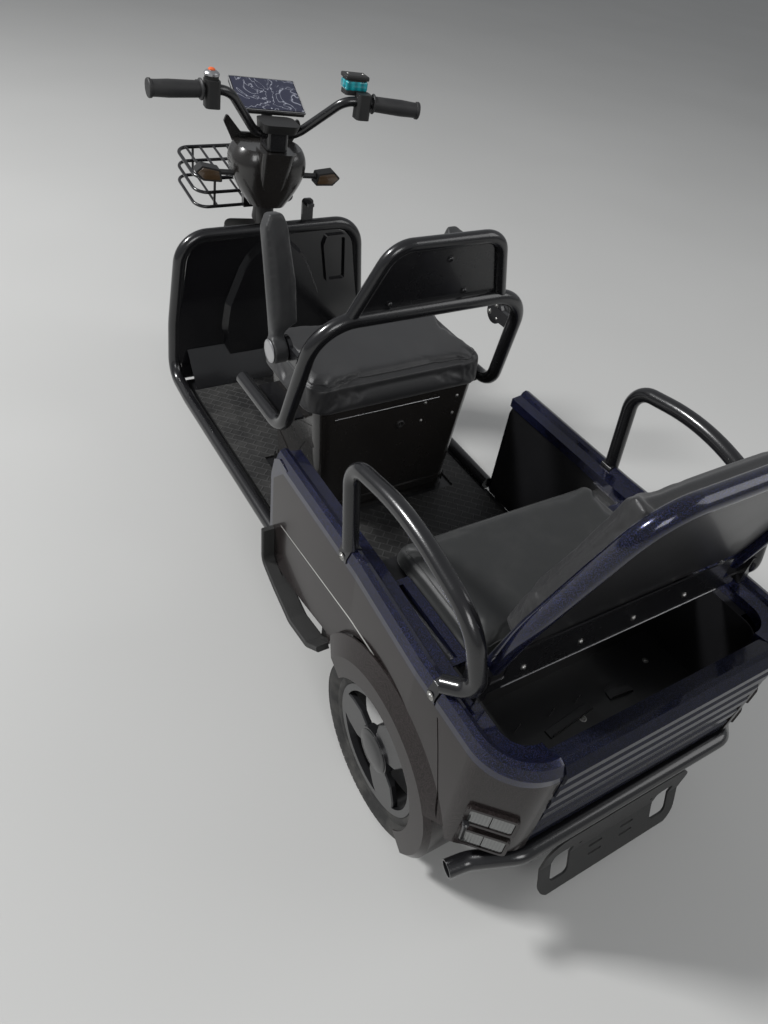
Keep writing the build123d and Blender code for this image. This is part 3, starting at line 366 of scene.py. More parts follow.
def gather(shapes):
    # several shapes in one mesh
    whole = bmesh.new()
    for shape in shapes:
        part = bpy.data.meshes.new("part")
        shape.to_mesh(part)
        shape.free()
        whole.from_mesh(part)
        bpy.data.meshes.remove(part)
    return whole


def lathe(profile, at=(0, 0, 0), along=(0, 0, 1), steps=28):
    # spins radius and height pairs about an axis
    shape = bmesh.new()
    line = [shape.verts.new((r, 0, h)) for r, h in profile]
    edges = [shape.edges.new(pair) for pair in zip(line, line[1:])]
    bmesh.ops.spin(shape, geom=line + edges, cent=(0, 0, 0), axis=(0, 0, 1), angle=2 * pi, steps=steps,
                   use_merge=True, use_duplicate=False)
    bmesh.ops.remove_doubles(shape, verts=shape.verts, dist=1e-6)
    bmesh.ops.recalc_face_normals(shape, faces=shape.faces)
    turn = Vector((0, 0, 1)).rotation_difference(Vector(along)).to_matrix().to_4x4()
    bmesh.ops.transform(shape, matrix=Matrix.Translation(at) @ turn, verts=shape.verts)
    return shape


def softened(shape, edges, amount, segments):
    # rounds edges of a shape
    bmesh.ops.bevel(shape, geom=edges, offset=amount, offset_type="OFFSET", segments=segments, profile=0.5,
                    affect="EDGES", material=-1, clamp_overlap=True)
    return shape


def plainBlock(low, high):
    # sharp block between two corners
    shape = bmesh.new()
    bmesh.ops.create_cube(shape, size=1)
    bmesh.ops.scale(shape, vec=Vector(high) - Vector(low), verts=shape.verts)
    bmesh.ops.translate(shape, vec=(Vector(high) + Vector(low)) / 2, verts=shape.verts)
    return shape


def slab(low, high, soft, segments):
    # block with rounded edges
    shape = plainBlock(low, high)
    return softened(shape, shape.edges[:], soft, segments)


def mirrored(shape):
    # the same shape on the right
    twin = shape.copy()
    bmesh.ops.scale(twin, vec=(-1, 1, 1), verts=twin.verts)
    bmesh.ops.reverse_faces(twin, faces=twin.faces)
    return twin


def boltHead(at, along, radius):
    # domed head with a round socket on a washer
    rim = radius * 1.45
    profile = [(0, radius * 0.30), (radius * 0.42, radius * 0.30), (radius * 0.46, radius * 0.72),
               (radius * 0.70, radius * 0.62), (radius * 0.94, radius * 0.34), (radius, radius * 0.16),
               (rim, radius * 0.14), (rim, -0.0003)]
    return lathe(profile, at, along, 18)


def sheetFrom(points, depth):
    # flat outline thickened along a vector
    shape = bmesh.new()
    face = shape.faces.new([shape.verts.new(p) for p in points])
    made = bmesh.ops.extrude_face_region(shape, geom=[face])
    moved = [v for v in made["geom"] if isinstance(v, bmesh.types.BMVert)]
    bmesh.ops.translate(shape, vec=depth, verts=moved)
    bmesh.ops.recalc_face_normals(shape, faces=shape.faces)
    return shape


# tyres: a spun carcass whose tread faces are inset and raised as blocks
tyreLook = {"width": 0.068, "radius": 0.185, "rim": 0.143, "blocks": 76, "blockHeight": 0.0030,
            "groove": 0.0016}
frontHub = (0, -1.580, 0.18571)
rearHub = (0.3135, 0, 0.185)


def tyreShape(look):
    half = look["width"] / 2
    crown = look["radius"] - look["blockHeight"]
    bead = look["rim"]
    # share of the half width, radius: from the bead out to the crown
    side = [(0.72, bead - 0.012), (0.80, bead - 0.008), (0.83, bead + 0.001), (0.80, bead + 0.004),
            (0.93, bead + 0.012), (0.985, bead + 0.020), (1.0, bead + 0.026), (0.96, bead + 0.0325),
            (0.80, crown - 0.0024), (0.46, crown - 0.0004), (0.12, crown)]
    outline = [(x * half, r) for x, r in side] + [(-x * half, r) for x, r in reversed(side)]
    shape = bmesh.new()
    line = [shape.verts.new((x, 0, r)) for x, r in outline]
    edges = [shape.edges.new(pair) for pair in zip(line, line[1:] + line[:1])]
    bmesh.ops.spin(shape, geom=line + edges, cent=(0, 0, 0), axis=(1, 0, 0), angle=2 * pi,
                   steps=look["blocks"], use_merge=True, use_duplicate=False)
    bmesh.ops.remove_doubles(shape, verts=shape.verts, dist=1e-6)
    bmesh.ops.recalc_face_normals(shape, faces=shape.faces)
    tread = []
    for face in shape.faces:
        middle = face.calc_center_median()
        reach = sqrt(middle.y ** 2 + middle.z ** 2)
        if reach > look["rim"] + 0.030 and abs(middle.x) > 0.10 * half:
            tread.append(face)
    bmesh.ops.inset_individual(shape, faces=tread, thickness=look["groove"], depth=look["blockHeight"])
    return shape


def rolled(shape, hub):
    bmesh.ops.translate(shape, vec=hub, verts=shape.verts)
    return shape


tyreRows = [("frontTyre", frontHub, "front_wheel", "front_tyre", True),
            ("rearLeftTyre", rearHub, "rear_left_wheel", "rear_left_tyre", False),
            ("rearRightTyre", (-rearHub[0], 0, rearHub[2]), "rear_right_wheel", "rear_right_tyre", False)]
for name, hub, body, node, steered in tyreRows:
    showPiece(name, rolled(tyreShape(tyreLook), hub), "tyreRubber", body, [node], 40, steered)

hubLook = {"face": 0.0305, "radius": 0.044, "dome": 0.0065, "valve": (0.012, 0.045, 0.114)}


def hubCap(side):
    # domed cap on the outer face of a rim, and a valve stem beside it
    face = hubLook["face"]
    dome = hubLook["dome"]
    radius = hubLook["radius"]
    cap = lathe([(0, face + dome), (radius * 0.45, face + dome * 0.93), (radius * 0.80, face + dome * 0.62),
                 (radius * 0.86, face + 0.0028), (radius * 0.93, face + 0.0028), (radius, face + 0.0012),
                 (radius, face - 0.0002), (0, face - 0.0002)], (0, 0, 0), (side, 0, 0), 40)
    x, y, z = hubLook["valve"]
    stem = lathe([(0, 0.020), (0.0022, 0.0195), (0.0026, 0.014), (0.0036, 0.013), (0.0036, 0.002),
                  (0.0045, 0), (0.0045, -0.004)], (side * x, y, z), (side * 0.8, 0, -0.6), 12)
    return gather([cap, stem])


for side, body in ((1, "rear_left_wheel"), (-1, "rear_right_wheel")):
    place = (side * rearHub[0], 0, rearHub[2])
    showPiece("hubCap_" + body, rolled(hubCap(side), place), "rimBlack", body)
frontCaps = gather([hubCap(1), hubCap(-1)])
showPiece("frontHubCaps", rolled(frontCaps, frontHub), "rimBlack", "front_wheel", (), 35, True)
print("wheels done")


# steering head: grips, bell, brake fluid tank, tablet, lamps
gripLook = {"start": (0.2064, -1.1831, 0.9906), "end": (0.3262, -1.1664, 0.9879), "radius": 0.0172}


def gripShape(look):
    way = Vector(look["end"]) - Vector(look["start"])
    length = way.length
    radius = look["radius"]
    rows = [(0.0112, 0), (radius + 0.0040, 0.0002), (radius + 0.0050, 0.0014), (radius + 0.0050, 0.0034),
            (radius + 0.0036, 0.0050), (radius, 0.0066)]
    rows += [(radius + 0.0006, length * 0.35), (radius + 0.0012, length * 0.62), (radius, length * 0.86)]
    rows += [(radius, length - 0.0080), (radius + 0.0022, length - 0.0070),
             (radius + 0.0026, length - 0.0020), (radius + 0.0012, length), (0.006, length + 0.0006),
             (0, length + 0.0004)]
    return lathe(rows, look["start"], way, 40)


leftGrip = gripShape(gripLook)
rightGrip = mirrored(leftGrip)
showPiece("gripSleeves", gather([leftGrip, rightGrip]), "gripRubber", "steering", ["grips"],
          35, True)

bellLook = {"at": (0.183, -1.191, 1.023), "radius": 0.0175, "knob": 0.0082}
bellRadius = bellLook["radius"]
bellDome = lathe([(0.0074, 0.0066), (0.0120, 0.0052), (bellRadius * 0.92, 0.0022), (bellRadius, 0),
                  (bellRadius, -0.0045), (bellRadius * 0.93, -0.0050)], bellLook["at"], (0, 0, 1), 36)
showPiece("bellDome", bellDome, "alloy", "steering", (), 30, True)
knobRadius = bellLook["knob"]
knob = lathe([(0, 0.0112), (knobRadius * 0.6, 0.0106), (knobRadius, 0.0080), (knobRadius, 0.0040),
              (knobRadius * 0.95, 0.0036)], bellLook["at"], (0, 0, 1), 24)
showPiece("bellKnob", knob, "orangeKnob", "steering", (), 35, True)

tankLook = {"low": (-0.1960, -1.2390, 1.0010), "high": (-0.1420, -1.1990, 1.0410), "lidOut": 0.0025,
            "lidRise": 0.0030, "lidDrop": 0.0070, "screwIn": 0.007, "screw": 0.0026, "windowOut": 0.0016}
tankLow = Vector(tankLook["low"])
tankHigh = Vector(tankLook["high"])
lidOut = tankLook["lidOut"]
lidTop = tankHigh.z + tankLook["lidRise"]
lid = slab((tankLow.x - lidOut, tankLow.y - lidOut, tankHigh.z - tankLook["lidDrop"]),
           (tankHigh.x + lidOut, tankHigh.y + lidOut, lidTop), 0.0028, 3)
lidScrews = [boltHead((x, (tankLow.y + tankHigh.y) / 2, lidTop), (0, 0, 1), tankLook["screw"])
             for x in (tankLow.x + tankLook["screwIn"], tankHigh.x - tankLook["screwIn"])]
showPiece("tankLid", lid, "plasticBlack", "steering", (), 35, True)
showPiece("tankScrews", gather(lidScrews), "zinc", "steering", (), 35, True)
windowOut = tankLook["windowOut"]
window = slab((tankLow.x - windowOut, tankLow.y - windowOut, tankLow.z + 0.0090),
              (tankHigh.x + windowOut, tankHigh.y + windowOut, tankHigh.z - 0.0078), 0.0060, 4)
showPiece("tankWindow", window, "fluidGlass", "steering", (), 35, True)

tabletLook = {"at": (0, -1.376, 0.942), "tilt": -20.0, "half": (0.086, 0.064), "top": 0.006,
              "edge": 0.0018}
tabletPlace = Matrix.Translation(tabletLook["at"]) @ Matrix.Rotation(radians(tabletLook["tilt"]), 4, "X")
halfX, halfY = tabletLook["half"]
film = slab((-halfX + 0.003, -halfY + 0.003, tabletLook["top"] - 0.0004),
            (halfX - 0.003, halfY - 0.003, tabletLook["top"] + 0.0010), 0.0004, 1)
bmesh.ops.transform(film, matrix=tabletPlace, verts=film.verts)
showPiece("tabletFilm", film, "screenFilm", "steering", (), 35, True)
edgeHalf = tabletLook["edge"] / 2
edgeTop = tabletLook["top"] + 0.0006
edgeX = halfX + 0.0004
edgeStrips = [slab((-edgeX, y - edgeHalf, 0.0010), (edgeX, y + edgeHalf, edgeTop), 0.0004, 1)
              for y in (-halfY, halfY)]
edgeStrips += [slab((x - edgeHalf, -halfY, 0.0010), (x + edgeHalf, halfY, edgeTop), 0.0004, 1)
               for x in (-halfX, halfX)]
tabletEdge = gather(edgeStrips)
bmesh.ops.transform(tabletEdge, matrix=tabletPlace, verts=tabletEdge.verts)
showPiece("tabletEdge", tabletEdge, "alloy", "steering", (), 35, True)

signalLook = {"outline": [(0.131, 0.757), (0.136, 0.779), (0.176, 0.786), (0.190, 0.773), (0.173, 0.758)],
              "faces": (-1.336, -1.300), "thick": 0.0035}
lenses = []
for faceY, way in zip(signalLook["faces"], (-1, 1)):
    outline = [(x, faceY - way * 0.001, z) for x, z in signalLook["outline"]]
    lens = sheetFrom(outline, (0, way * signalLook["thick"], 0))
    softened(lens, lens.edges[:], 0.0012, 2)
    lenses += [lens, mirrored(lens)]
showPiece("signalLenses", gather(lenses), "amberLens", "steering", (), 35, True)

bezelLook = {"at": (0, -1.4315, 0.782), "radius": 0.054}
bezelRadius = bezelLook["radius"]
bezel = lathe([(bezelRadius - 0.0060, 0.0012), (bezelRadius - 0.0040, 0.0046),
               (bezelRadius + 0.0030, 0.0046), (bezelRadius + 0.0044, 0.0020),
               (bezelRadius + 0.0044, -0.0040)], bezelLook["at"], (0, -1, 0), 56)
showPiece("lampBezel", bezel, "alloy", "steering", (), 30, True)
print("steering head done")


# bolts, screws, lock and eyes on the chassis
boxFace = (0, 1, -0.038)  # way out of the seat box, at its back
backFace = (0, 0.977, -0.211)  # way out of the driver's back plate
boltRows = {  # finish: place, way out, radius
    "zinc": [
        ((0.3326, -0.207, 0.513), (1, 0, 0), 0.0056), ((-0.3326, -0.207, 0.513), (-1, 0, 0), 0.0056),
        ((0.3438, 0.106, 0.513), (1, 0, 0), 0.0056), ((-0.3438, 0.106, 0.513), (-1, 0, 0), 0.0056),
        ((0.3030, 0.138, 0.585), (1, 0, 0), 0.0090), ((-0.3030, 0.138, 0.585), (-1, 0, 0), 0.0090),
        ((0.2110, 0.148, 0.561), (0, 1, 0), 0.0042), ((0.0950, 0.148, 0.561), (0, 1, 0), 0.0042),
        ((-0.0220, 0.148, 0.561), (0, 1, 0), 0.0042), ((-0.1450, 0.148, 0.561), (0, 1, 0), 0.0042),
        ((0.0010, 0.167, 0.300), (0, 0, 1), 0.0050), ((-0.2100, 0.120, 0.300), (0, 0, 1), 0.0045),
        ((-0.0710, -0.5661, 0.515), boxFace, 0.0034), ((-0.1590, -0.5661, 0.516), boxFace, 0.0034),
        ((-0.0680, -0.5680, 0.465), boxFace, 0.0034), ((-0.1570, -0.5680, 0.466), boxFace, 0.0034),
    ],
    "tubeBlack": [
        ((0.0960, -0.5189, 0.809), backFace, 0.0058), ((-0.0750, -0.5176, 0.815), backFace, 0.0058),
        ((-0.0150, -0.5006, 0.894), backFace, 0.0058),
    ],
}
for finishName, rows in boltRows.items():
    heads = gather([boltHead(*row) for row in rows])
    showPiece("chassisBolts_" + finishName, heads, finishName, "chassis")

armDiscLook = {"x": 0.2578, "y": -0.615, "z": 0.691, "ring": 0.0170, "radius": 0.0042}
discBolts = []
for side in (1, -1):
    for turn in (80, 200, 320):
        place = (side * armDiscLook["x"], armDiscLook["y"] + armDiscLook["ring"] * cos(radians(turn)),
                 armDiscLook["z"] + armDiscLook["ring"] * sin(radians(turn)))
        discBolts.append(boltHead(place, (-side, 0, 0), armDiscLook["radius"]))
showPiece("armDiscBolts", gather(discBolts), "zinc", "chassis")

lockLook = {"at": (-0.0095, -0.5677, 0.470), "radius": 0.0105}
lockRadius = lockLook["radius"]
lockRing = lathe([(0, 0.0022), (lockRadius * 0.50, 0.0022), (lockRadius * 0.56, 0.0034),
                  (lockRadius * 0.80, 0.0040), (lockRadius, 0.0024), (lockRadius, -0.0005)],
                 lockLook["at"], boxFace, 30)
showPiece("boxLock", lockRing, "chassisBlack", "chassis")
# bright strips: a keyway, a line on the seat box, and a painted highlight along the flange edge
trimAndHighlightRows = [  # low corner, high corner, softness
    ((-0.0103, -0.5660, 0.4660), (-0.0087, -0.5652, 0.4740), 0.0002),  # keyway
    ((-0.108, -0.5662, 0.5222), (0.164, -0.5650, 0.5240), 0.0003),  # line on the seat box
    ((-0.2460, 0.1478, 0.5292), (0.2460, 0.1490, 0.5312), 0.0004),  # edge of the flange
# painted highlight: a thin bright strip standing for light caught along the flange edge
]
trimsAndFlangeHighlight = gather([slab(low, high, soft, 1) for low, high, soft in trimAndHighlightRows])
showPiece("trimsAndFlangeHighlight", trimsAndFlangeHighlight, "alloy", "chassis")

tubFloor = 0.3002
eyeLook = {"wire": 0.0022, "half": 0.0085, "turn": 24,
           "rows": [(0.047, 0.131), (-0.018, 0.130), (0.127, 0.129), (-0.088, 0.134), (-0.148, 0.134)]}


def floorEye(x, y, look):
    # small wire loop that stands on the tub floor
    shape = bmesh.new()
    made = bmesh.ops.create_circle(shape, cap_ends=False, radius=look["wire"], segments=10)
    bmesh.ops.rotate(shape, verts=made["verts"], cent=(0, 0, 0), matrix=Matrix.Rotation(radians(90), 3, "X"))
    bmesh.ops.translate(shape, vec=(look["half"], 0, 0), verts=made["verts"])
    ring = made["verts"] + list({e for v in made["verts"] for e in v.link_edges})
    bmesh.ops.spin(shape, geom=ring, cent=(0, 0, 0), axis=(0, 1, 0), angle=-pi, steps=14, use_merge=False,
                   use_duplicate=False)
    bmesh.ops.recalc_face_normals(shape, faces=shape.faces)
    bmesh.ops.rotate(shape, verts=shape.verts, cent=(0, 0, 0),
                     matrix=Matrix.Rotation(radians(look["turn"]), 3, "Z"))
    bmesh.ops.translate(shape, vec=(x, y, tubFloor), verts=shape.verts)
    return shape


floorEyes = gather([floorEye(x, y, eyeLook) for x, y in eyeLook["rows"]])
showPiece("floorEyes", floorEyes, "zinc", "chassis")
strapLook = {"half": 0.009, "thick": 0.0022, "lip": 0.009, "soft": 0.0006,
             "rows": [((0.085, 0.165), (-0.030, 0.151)), ((-0.077, 0.151), (-0.134, 0.156))]}
straps = []
for (x0, y0), (x1, y1) in strapLook["rows"]:
    half = strapLook["half"]
    way = Vector((x1 - x0, y1 - y0, 0))
    flat = slab((0, -half, 0), (way.length, half, strapLook["thick"]), strapLook["soft"], 1)
    lip = slab((0.004, -half, 0.0018), (way.length - 0.004, -0.0072, strapLook["lip"]), strapLook["soft"], 1)
    strap = gather([flat, lip])
    turn = Matrix.Translation((x0, y0, tubFloor)) @ Matrix.Rotation(atan2(way.y, way.x), 4, "Z")
    bmesh.ops.transform(strap, matrix=turn, verts=strap.verts)
    straps.append(strap)
showPiece("floorStraps", gather(straps), "sheetBlack", "chassis")

ribLook = {"pitch": 0.0088, "width": 0.0042, "near": 0.1852, "far": 0.1889, "low": 0.231, "high": 0.262,
           "start": -0.822, "end": -0.580}
ribs = []
ribCount = int((ribLook["end"] - ribLook["start"]) / ribLook["pitch"])
for k in range(ribCount):
    y = ribLook["start"] + k * ribLook["pitch"]
    for side in (1, -1):
        near, far = sorted((side * ribLook["near"], side * ribLook["far"]))
        ribs.append(slab((near, y, ribLook["low"]), (far, y + ribLook["width"], ribLook["high"]), 0.0008, 1))
showPiece("skirtRibs", gather(ribs), "plasticBlack", "chassis")

pegLook = {"low": (0.3335, 0.246, 0.300), "high": (0.3375, 0.247, 0.356), "radius": 0.0042}
pegWay = Vector(pegLook["high"]) - Vector(pegLook["low"])
pegTop = pegWay.length
pegRows = [(0, -0.002), (0.0030, -0.0014), (pegLook["radius"], 0.001), (pegLook["radius"], pegTop - 0.010),
           (0.0056, pegTop - 0.008), (0.0060, pegTop - 0.002), (0.0036, pegTop), (0, pegTop)]
leftPeg = lathe(pegRows, pegLook["low"], pegWay, 20)
showPiece("cornerPegs", gather([leftPeg, mirrored(leftPeg)]), "rimBlack", "chassis")

stripeLook = {"start": (-0.468, 0.357), "end": (-0.060, 0.404), "width": 0.0030, "proud": 0.0004}
# Y and outer X of a side panel
faceLine = [(-0.512, 0.3295), (-0.158, 0.3305), (0.060, 0.3415), (0.226, 0.3415)]


def panelFace(y):
    for (y0, x0), (y1, x1) in zip(faceLine, faceLine[1:]):
        if y <= y1:
            return x0 + (x1 - x0) * (y - y0) / (y1 - y0)
    return faceLine[-1][1]


def sideStripe(start, end, width, proud):
    # thin film line that follows the panel
    shape = bmesh.new()
    bmesh.ops.create_grid(shape, x_segments=40, y_segments=1, size=0.5)
    for vert in shape.verts:
        share = vert.co.x + 0.5
        y = start[0] + (end[0] - start[0]) * share
        z = start[1] + (end[1] - start[1]) * share + vert.co.y * width * (0.5 + share)
        vert.co = (panelFace(y) + proud, y, z)
    bmesh.ops.recalc_face_normals(shape, faces=shape.faces)
    bmesh.ops.solidify(shape, geom=shape.faces[:], thickness=0.0003)
    return shape


leftStripe = sideStripe(stripeLook["start"], stripeLook["end"], stripeLook["width"], stripeLook["proud"])
showPiece("sideStripes", gather([leftStripe, mirrored(leftStripe)]), "stripeFilm", "chassis")
print("fasteners and trims done")

armCapLook = {"x": 0.2985, "y": -0.615, "z": 0.691, "radius": 0.0235}
for side, body in ((1, "left_arm"), (-1, "right_arm")):
    cap = lathe([(0, 0.0030), (armCapLook["radius"] * 0.70, 0.0028), (armCapLook["radius"] * 0.94, 0.0018),
                 (armCapLook["radius"], 0.0004), (armCapLook["radius"], -0.0004)],
                (side * armCapLook["x"], armCapLook["y"], armCapLook["z"]), (side, 0, 0), 40)
    showPiece("armCap_" + body, cap, "alloy", body)


# padded pieces
def meshOf(shape, name):
    mesh = bpy.data.meshes.new(name)
    shape.to_mesh(mesh)
    shape.free()
    return mesh


def cushionBlock(look):
    # block with round corners in plan and a rounded top edge
    shape = plainBlock(look["low"], look["high"])
    upright = [e for e in shape.edges if abs(e.verts[0].co.z - e.verts[1].co.z) > 0.01]
    softened(shape, upright, look["corner"], 8)
    around = [e for e in shape.edges if min(v.co.z for v in e.verts) > look["high"][2] - 1e-5]
    softened(shape, around, look["edge"], 4)
    bmesh.ops.translate(shape, vec=(0, axleLine, 0), verts=shape.verts)
    return meshOf(shape, "block")


def copyOf(nodeName, shrink):
    # a merged copy of a frame solid, drawn in a little
    shape = bmesh.new()
    shape.from_mesh(nodes[nodeName].data)
    bmesh.ops.remove_doubles(shape, verts=shape.verts, dist=1e-5)
    bmesh.ops.recalc_face_normals(shape, faces=shape.faces)
    shape.normal_update()
    for vert in shape.verts:
        vert.co -= vert.normal * shrink
    return meshOf(shape, "copy")


def evenMesh(base, voxel):
    work = bpy.data.objects.new("work", base)
    bpy.context.scene.collection.objects.link(work)
    remesh = work.modifiers.new("even", "REMESH")
    remesh.mode = "VOXEL"
    remesh.voxel_size = voxel
    smooth = work.modifiers.new("calm", "SMOOTH")
    smooth.factor = 0.5
    smooth.iterations = 3
    even = bpy.data.meshes.new_from_object(work.evaluated_get(bpy.context.evaluated_depsgraph_get()))
    bpy.data.objects.remove(work)
    return even


def swollen(soft, look):
    # presses the shape outward as cloth, and caps how far a point may move
    start = [v.co.copy() for v in soft.data.vertices]
    held = soft.vertex_groups.new(name="held")
    held.add([v.index for v in soft.data.vertices if look["held"](v.co)], 1.0, "REPLACE")
    cloth = soft.modifiers.new("swell", "CLOTH")
    cloth.settings.quality = 4
    cloth.settings.use_pressure = True
    cloth.settings.uniform_pressure_force = look["pressure"]
    cloth.settings.vertex_group_mass = "held"
    cloth.settings.effector_weights.gravity = 0
    cloth.point_cache.frame_start = 1
    cloth.point_cache.frame_end = 20
    for step in range(1, 21):
        bpy.context.scene.frame_set(step)
    full = bpy.data.meshes.new_from_object(soft.evaluated_get(bpy.context.evaluated_depsgraph_get()))
    soft.modifiers.clear()
    soft.vertex_groups.clear()
    for vert, first in zip(full.vertices, start):
        move = vert.co - first
        if move.length > look["cap"]:
            vert.co = first + move.normalized() * look["cap"]
    soft.data = full
    bpy.context.scene.frame_set(1)


def pressSeams(mesh, seams):
    # each seam is a plane: point, way, half width, depth
    for point, way, half, depth in seams:
        normal = Vector(way).normalized()
        for vert in mesh.vertices:
            off = abs((vert.co - Vector(point)).dot(normal))
            if off < half:
                vert.co -= vert.normal * depth * (1 - (off / half) ** 2)


def pipingFrom(mesh, point, way, radius):
    # a round cord of vinyl along the line where a plane cuts the cushion
    shape = bmesh.new()
    shape.from_mesh(mesh)
    bmesh.ops.bisect_plane(shape, geom=shape.verts[:] + shape.edges[:] + shape.faces[:], plane_co=point,
                           plane_no=Vector(way).normalized(), clear_inner=True, clear_outer=True)
    bmesh.ops.remove_doubles(shape, verts=shape.verts, dist=0.0004)
    loop = []
    vert = min(shape.verts, key=lambda v: v.co.x)
    while vert is not None and len(loop) < len(shape.verts):
        loop.append(vert)
        following = [e.other_vert(vert) for e in vert.link_edges if e.other_vert(vert) not in loop]
        vert = following[0] if following else None
    curve = bpy.data.curves.new("piping", "CURVE")
    curve.dimensions = "3D"
    curve.bevel_depth = radius
    curve.bevel_resolution = 2
    line = curve.splines.new("POLY")
    places = [v.co.copy() for v in loop[::2]]
    line.points.add(len(places) - 1)
    for dot, place in zip(line.points, places):
        dot.co = (*place, 1)
    line.use_cyclic_u = True
    shape.free()
    holder = bpy.data.objects.new("piping", curve)
    bpy.context.scene.collection.objects.link(holder)
    made = bpy.data.meshes.new_from_object(holder.evaluated_get(bpy.context.evaluated_depsgraph_get()))
    bpy.data.objects.remove(holder)
    return made


def showMesh(name, mesh, finish, body, swaps=()):
    mesh.name = name
    mesh.materials.clear()
    mesh.materials.append(finishes[finish])
    mesh.polygons.foreach_set("use_smooth", [True] * len(mesh.polygons))
    piece = bpy.data.objects.new(name, mesh)
    bpy.context.scene.collection.objects.link(piece)
    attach(piece, body)
    if swaps:
        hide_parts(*swaps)
    return piece


def padPiece(name, base, look, body, node):
    even = evenMesh(base, look["voxel"])
    soft = showMesh(name, even, look["finish"], body, [node])
    swollen(soft, look)
    mesh = soft.data
    pressSeams(mesh, look["seams"])
    mesh.materials.clear()
    mesh.materials.append(finishes[look["finish"]])
    mesh.polygons.foreach_set("use_smooth", [True] * len(mesh.polygons))
    finer = soft.modifiers.new("finer", "SUBSURF")
    finer.levels = 1
    finer.render_levels = 1
    for count, cord in enumerate(look["piping"]):
        showMesh(name + "Piping" + str(count), pipingFrom(mesh, *cord), look["finish"], body)
    print("padded:", name, len(mesh.vertices))
    return soft


seatLook = {
    "low": (-0.227, -0.836, 0.5436), "high": (0.227, -0.560, 0.609), "corner": 0.050, "edge": 0.008,
    "voxel": 0.005, "pressure": 4.0, "cap": 0.010, "fill": 0.8, "finish": "seatVinyl",
    "held": lambda p: p.z < 0.549,
    "seams": [((0, 0, 0.6065), (0, 0, 1), 0.006, 0.0030)],
    "piping": [((0, 0, 0.6065), (0, 0, 1), 0.0019)],
}
padPiece("driverCushion", cushionBlock(seatLook), seatLook, "seat_lid", "driver_seat")
benchLook = {
    "low": (-0.237, -0.191, 0.4884), "high": (0.237, 0.085, 0.528), "corner": 0.024, "edge": 0.012,
    "voxel": 0.006, "pressure": 4.0, "cap": 0.007, "fill": 0.75, "finish": "benchVinyl",
    "held": lambda p: p.z < 0.494,
    "seams": [((0, 0, 0.521), (0, 0, 1), 0.006, 0.0022)],
    "piping": [((0, 0, 0.521), (0, 0, 1), 0.0012)],
}
padPiece("benchPad", cushionBlock(benchLook), benchLook, "chassis", "bench_cushion")

restLean = radians(15.0)
restWay = Vector((0, -cos(restLean), sin(restLean)))  # out of the front of the folding backrest
restFoot = Vector((0, 0.138 + axleLine, 0.585))
restLook = {
    "voxel": 0.006, "pressure": 4.0, "cap": 0.012, "fill": 0.7, "finish": "seatVinyl",
    "held": lambda p: (p - restFoot).dot(restWay) < 0.0085,
    "seams": [(restFoot + restWay * 0.012, restWay, 0.005, 0.0022)],
    "piping": [(restFoot + restWay * 0.012, restWay, 0.0013)],
}
padPiece("backrestCushion", copyOf("backrest_pad", 0.004), restLook, "rear_backrest", "backrest_pad")

backWay = Vector((0, -148, 32)).normalized()
backFoot = Vector((0, -0.508 + axleLine, 0.860))
backLook = {
    "voxel": 0.005, "pressure": 4.0, "cap": 0.009, "fill": 0.7, "finish": "seatVinyl",
    "held": lambda p: (p - backFoot).dot(backWay) < 0.0085,
    "seams": [(backFoot + backWay * 0.012, backWay, 0.005, 0.0020)],
    "piping": [(backFoot + backWay * 0.012, backWay, 0.0012)],
}
padPiece("driverBackCushion", copyOf("driver_back_pad", 0.003), backLook, "chassis", "driver_back_pad")

armLook = {
    "voxel": 0.004, "pressure": 2.0, "cap": 0.003, "fill": 0.9, "finish": "padFoam",
    "held": lambda p: (Vector((0, p.y, p.z)) - Vector((0, -0.615 + axleLine, 0.691))).length < 0.034,
    "seams": [], "piping": [],
}
padPiece("leftArmPad", copyOf("arm_left", 0.001), armLook, "left_arm", "arm_left")
padPiece("rightArmPad", copyOf("arm_right", 0.001), armLook, "right_arm", "arm_right")
print("padded pieces done")

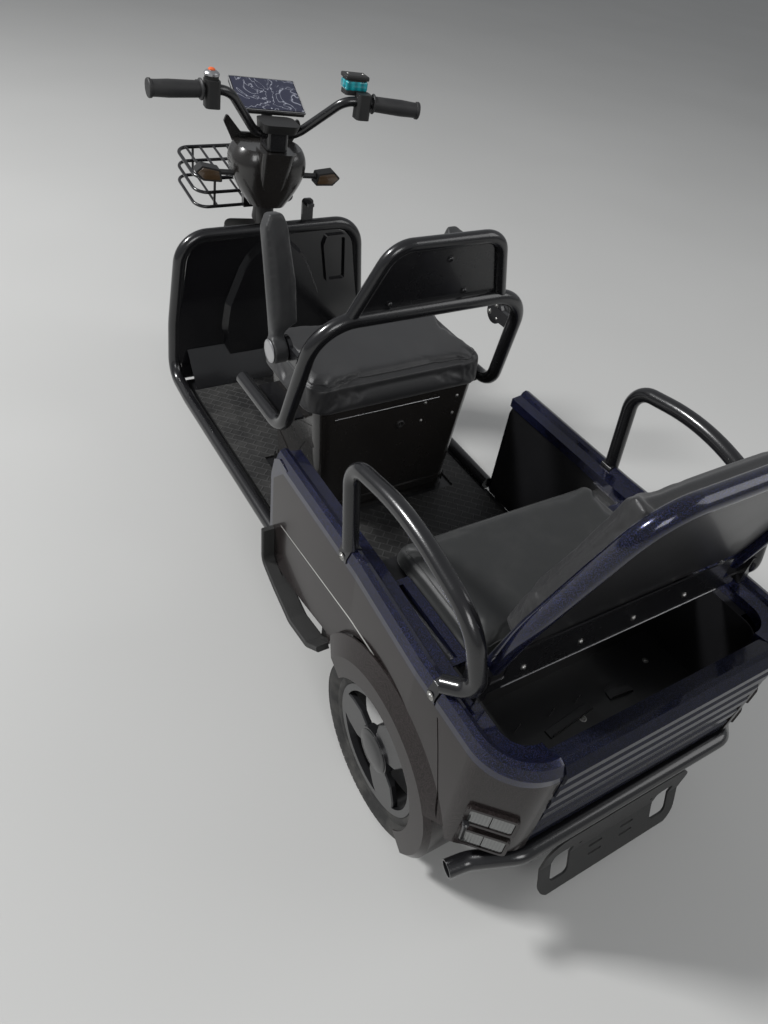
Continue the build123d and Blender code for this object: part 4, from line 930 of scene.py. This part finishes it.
# camera, floor and lamps
cameraPlace = {"at": (0.822, 1.2865, 1.455), "turn": (47.728, -6.879, 150.165), "lens": 25.936}
cameraData = bpy.data.cameras.new("viewCamera")
cameraData.lens = cameraPlace["lens"]
cameraData.sensor_width = 36.0
cameraData.clip_start = 0.05
camera = bpy.data.objects.new("viewCamera", cameraData)
camera.location = cameraPlace["at"]
camera.rotation_euler = Euler([radians(a) for a in cameraPlace["turn"]], "XYZ")
bpy.context.scene.collection.objects.link(camera)
bpy.context.scene.camera = camera

floorLook = {"low": (0.45, 0.45, 0.44), "high": (0.50, 0.50, 0.49)}


def paleFloor(look):
    f = Finish("paleFloor")
    return f.done(Base_Color=f.mix(f.noise(0.8, 2.0), look["low"], look["high"]), Roughness=0.9)


floorShape = bmesh.new()
bmesh.ops.create_grid(floorShape, x_segments=1, y_segments=1, size=40)
floorSheet = bpy.data.objects.new("floorSheet", meshOf(floorShape, "floorSheet"))
floorSheet.data.materials.append(paleFloor(floorLook))
bpy.context.scene.collection.objects.link(floorSheet)

lampRows = {  # name: place, aim, size, watts
    "keyLamp": ((4.2, -2.6, 5.4), (0, 0, 0.3), 0.9, 480),
    "fillLamp": ((-3.8, 2.6, 3.6), (0, 0, 0.4), 3.0, 60),
    "tailLamp": ((1.8, 4.6, 3.6), (0, 0.4, 0.3), 2.0, 70),
}
for lampName, (place, aim, size, watts) in lampRows.items():
    lampData = bpy.data.lights.new(lampName, "AREA")
    lampData.size = size
    lampData.energy = watts
    lamp = bpy.data.objects.new(lampName, lampData)
    lamp.location = place
    lamp.rotation_euler = (Vector(aim) - Vector(place)).to_track_quat("-Z", "Y").to_euler()
    bpy.context.scene.collection.objects.link(lamp)

world = bpy.data.worlds.new("softRoom")
world.use_nodes = True
world.node_tree.nodes["Background"].inputs["Color"].default_value = (0.80, 0.82, 0.85, 1)
world.node_tree.nodes["Background"].inputs["Strength"].default_value = 0.34
bpy.context.scene.world = world
bpy.context.scene.view_settings.view_transform = "Standard"
print("camera, floor and lamps set")
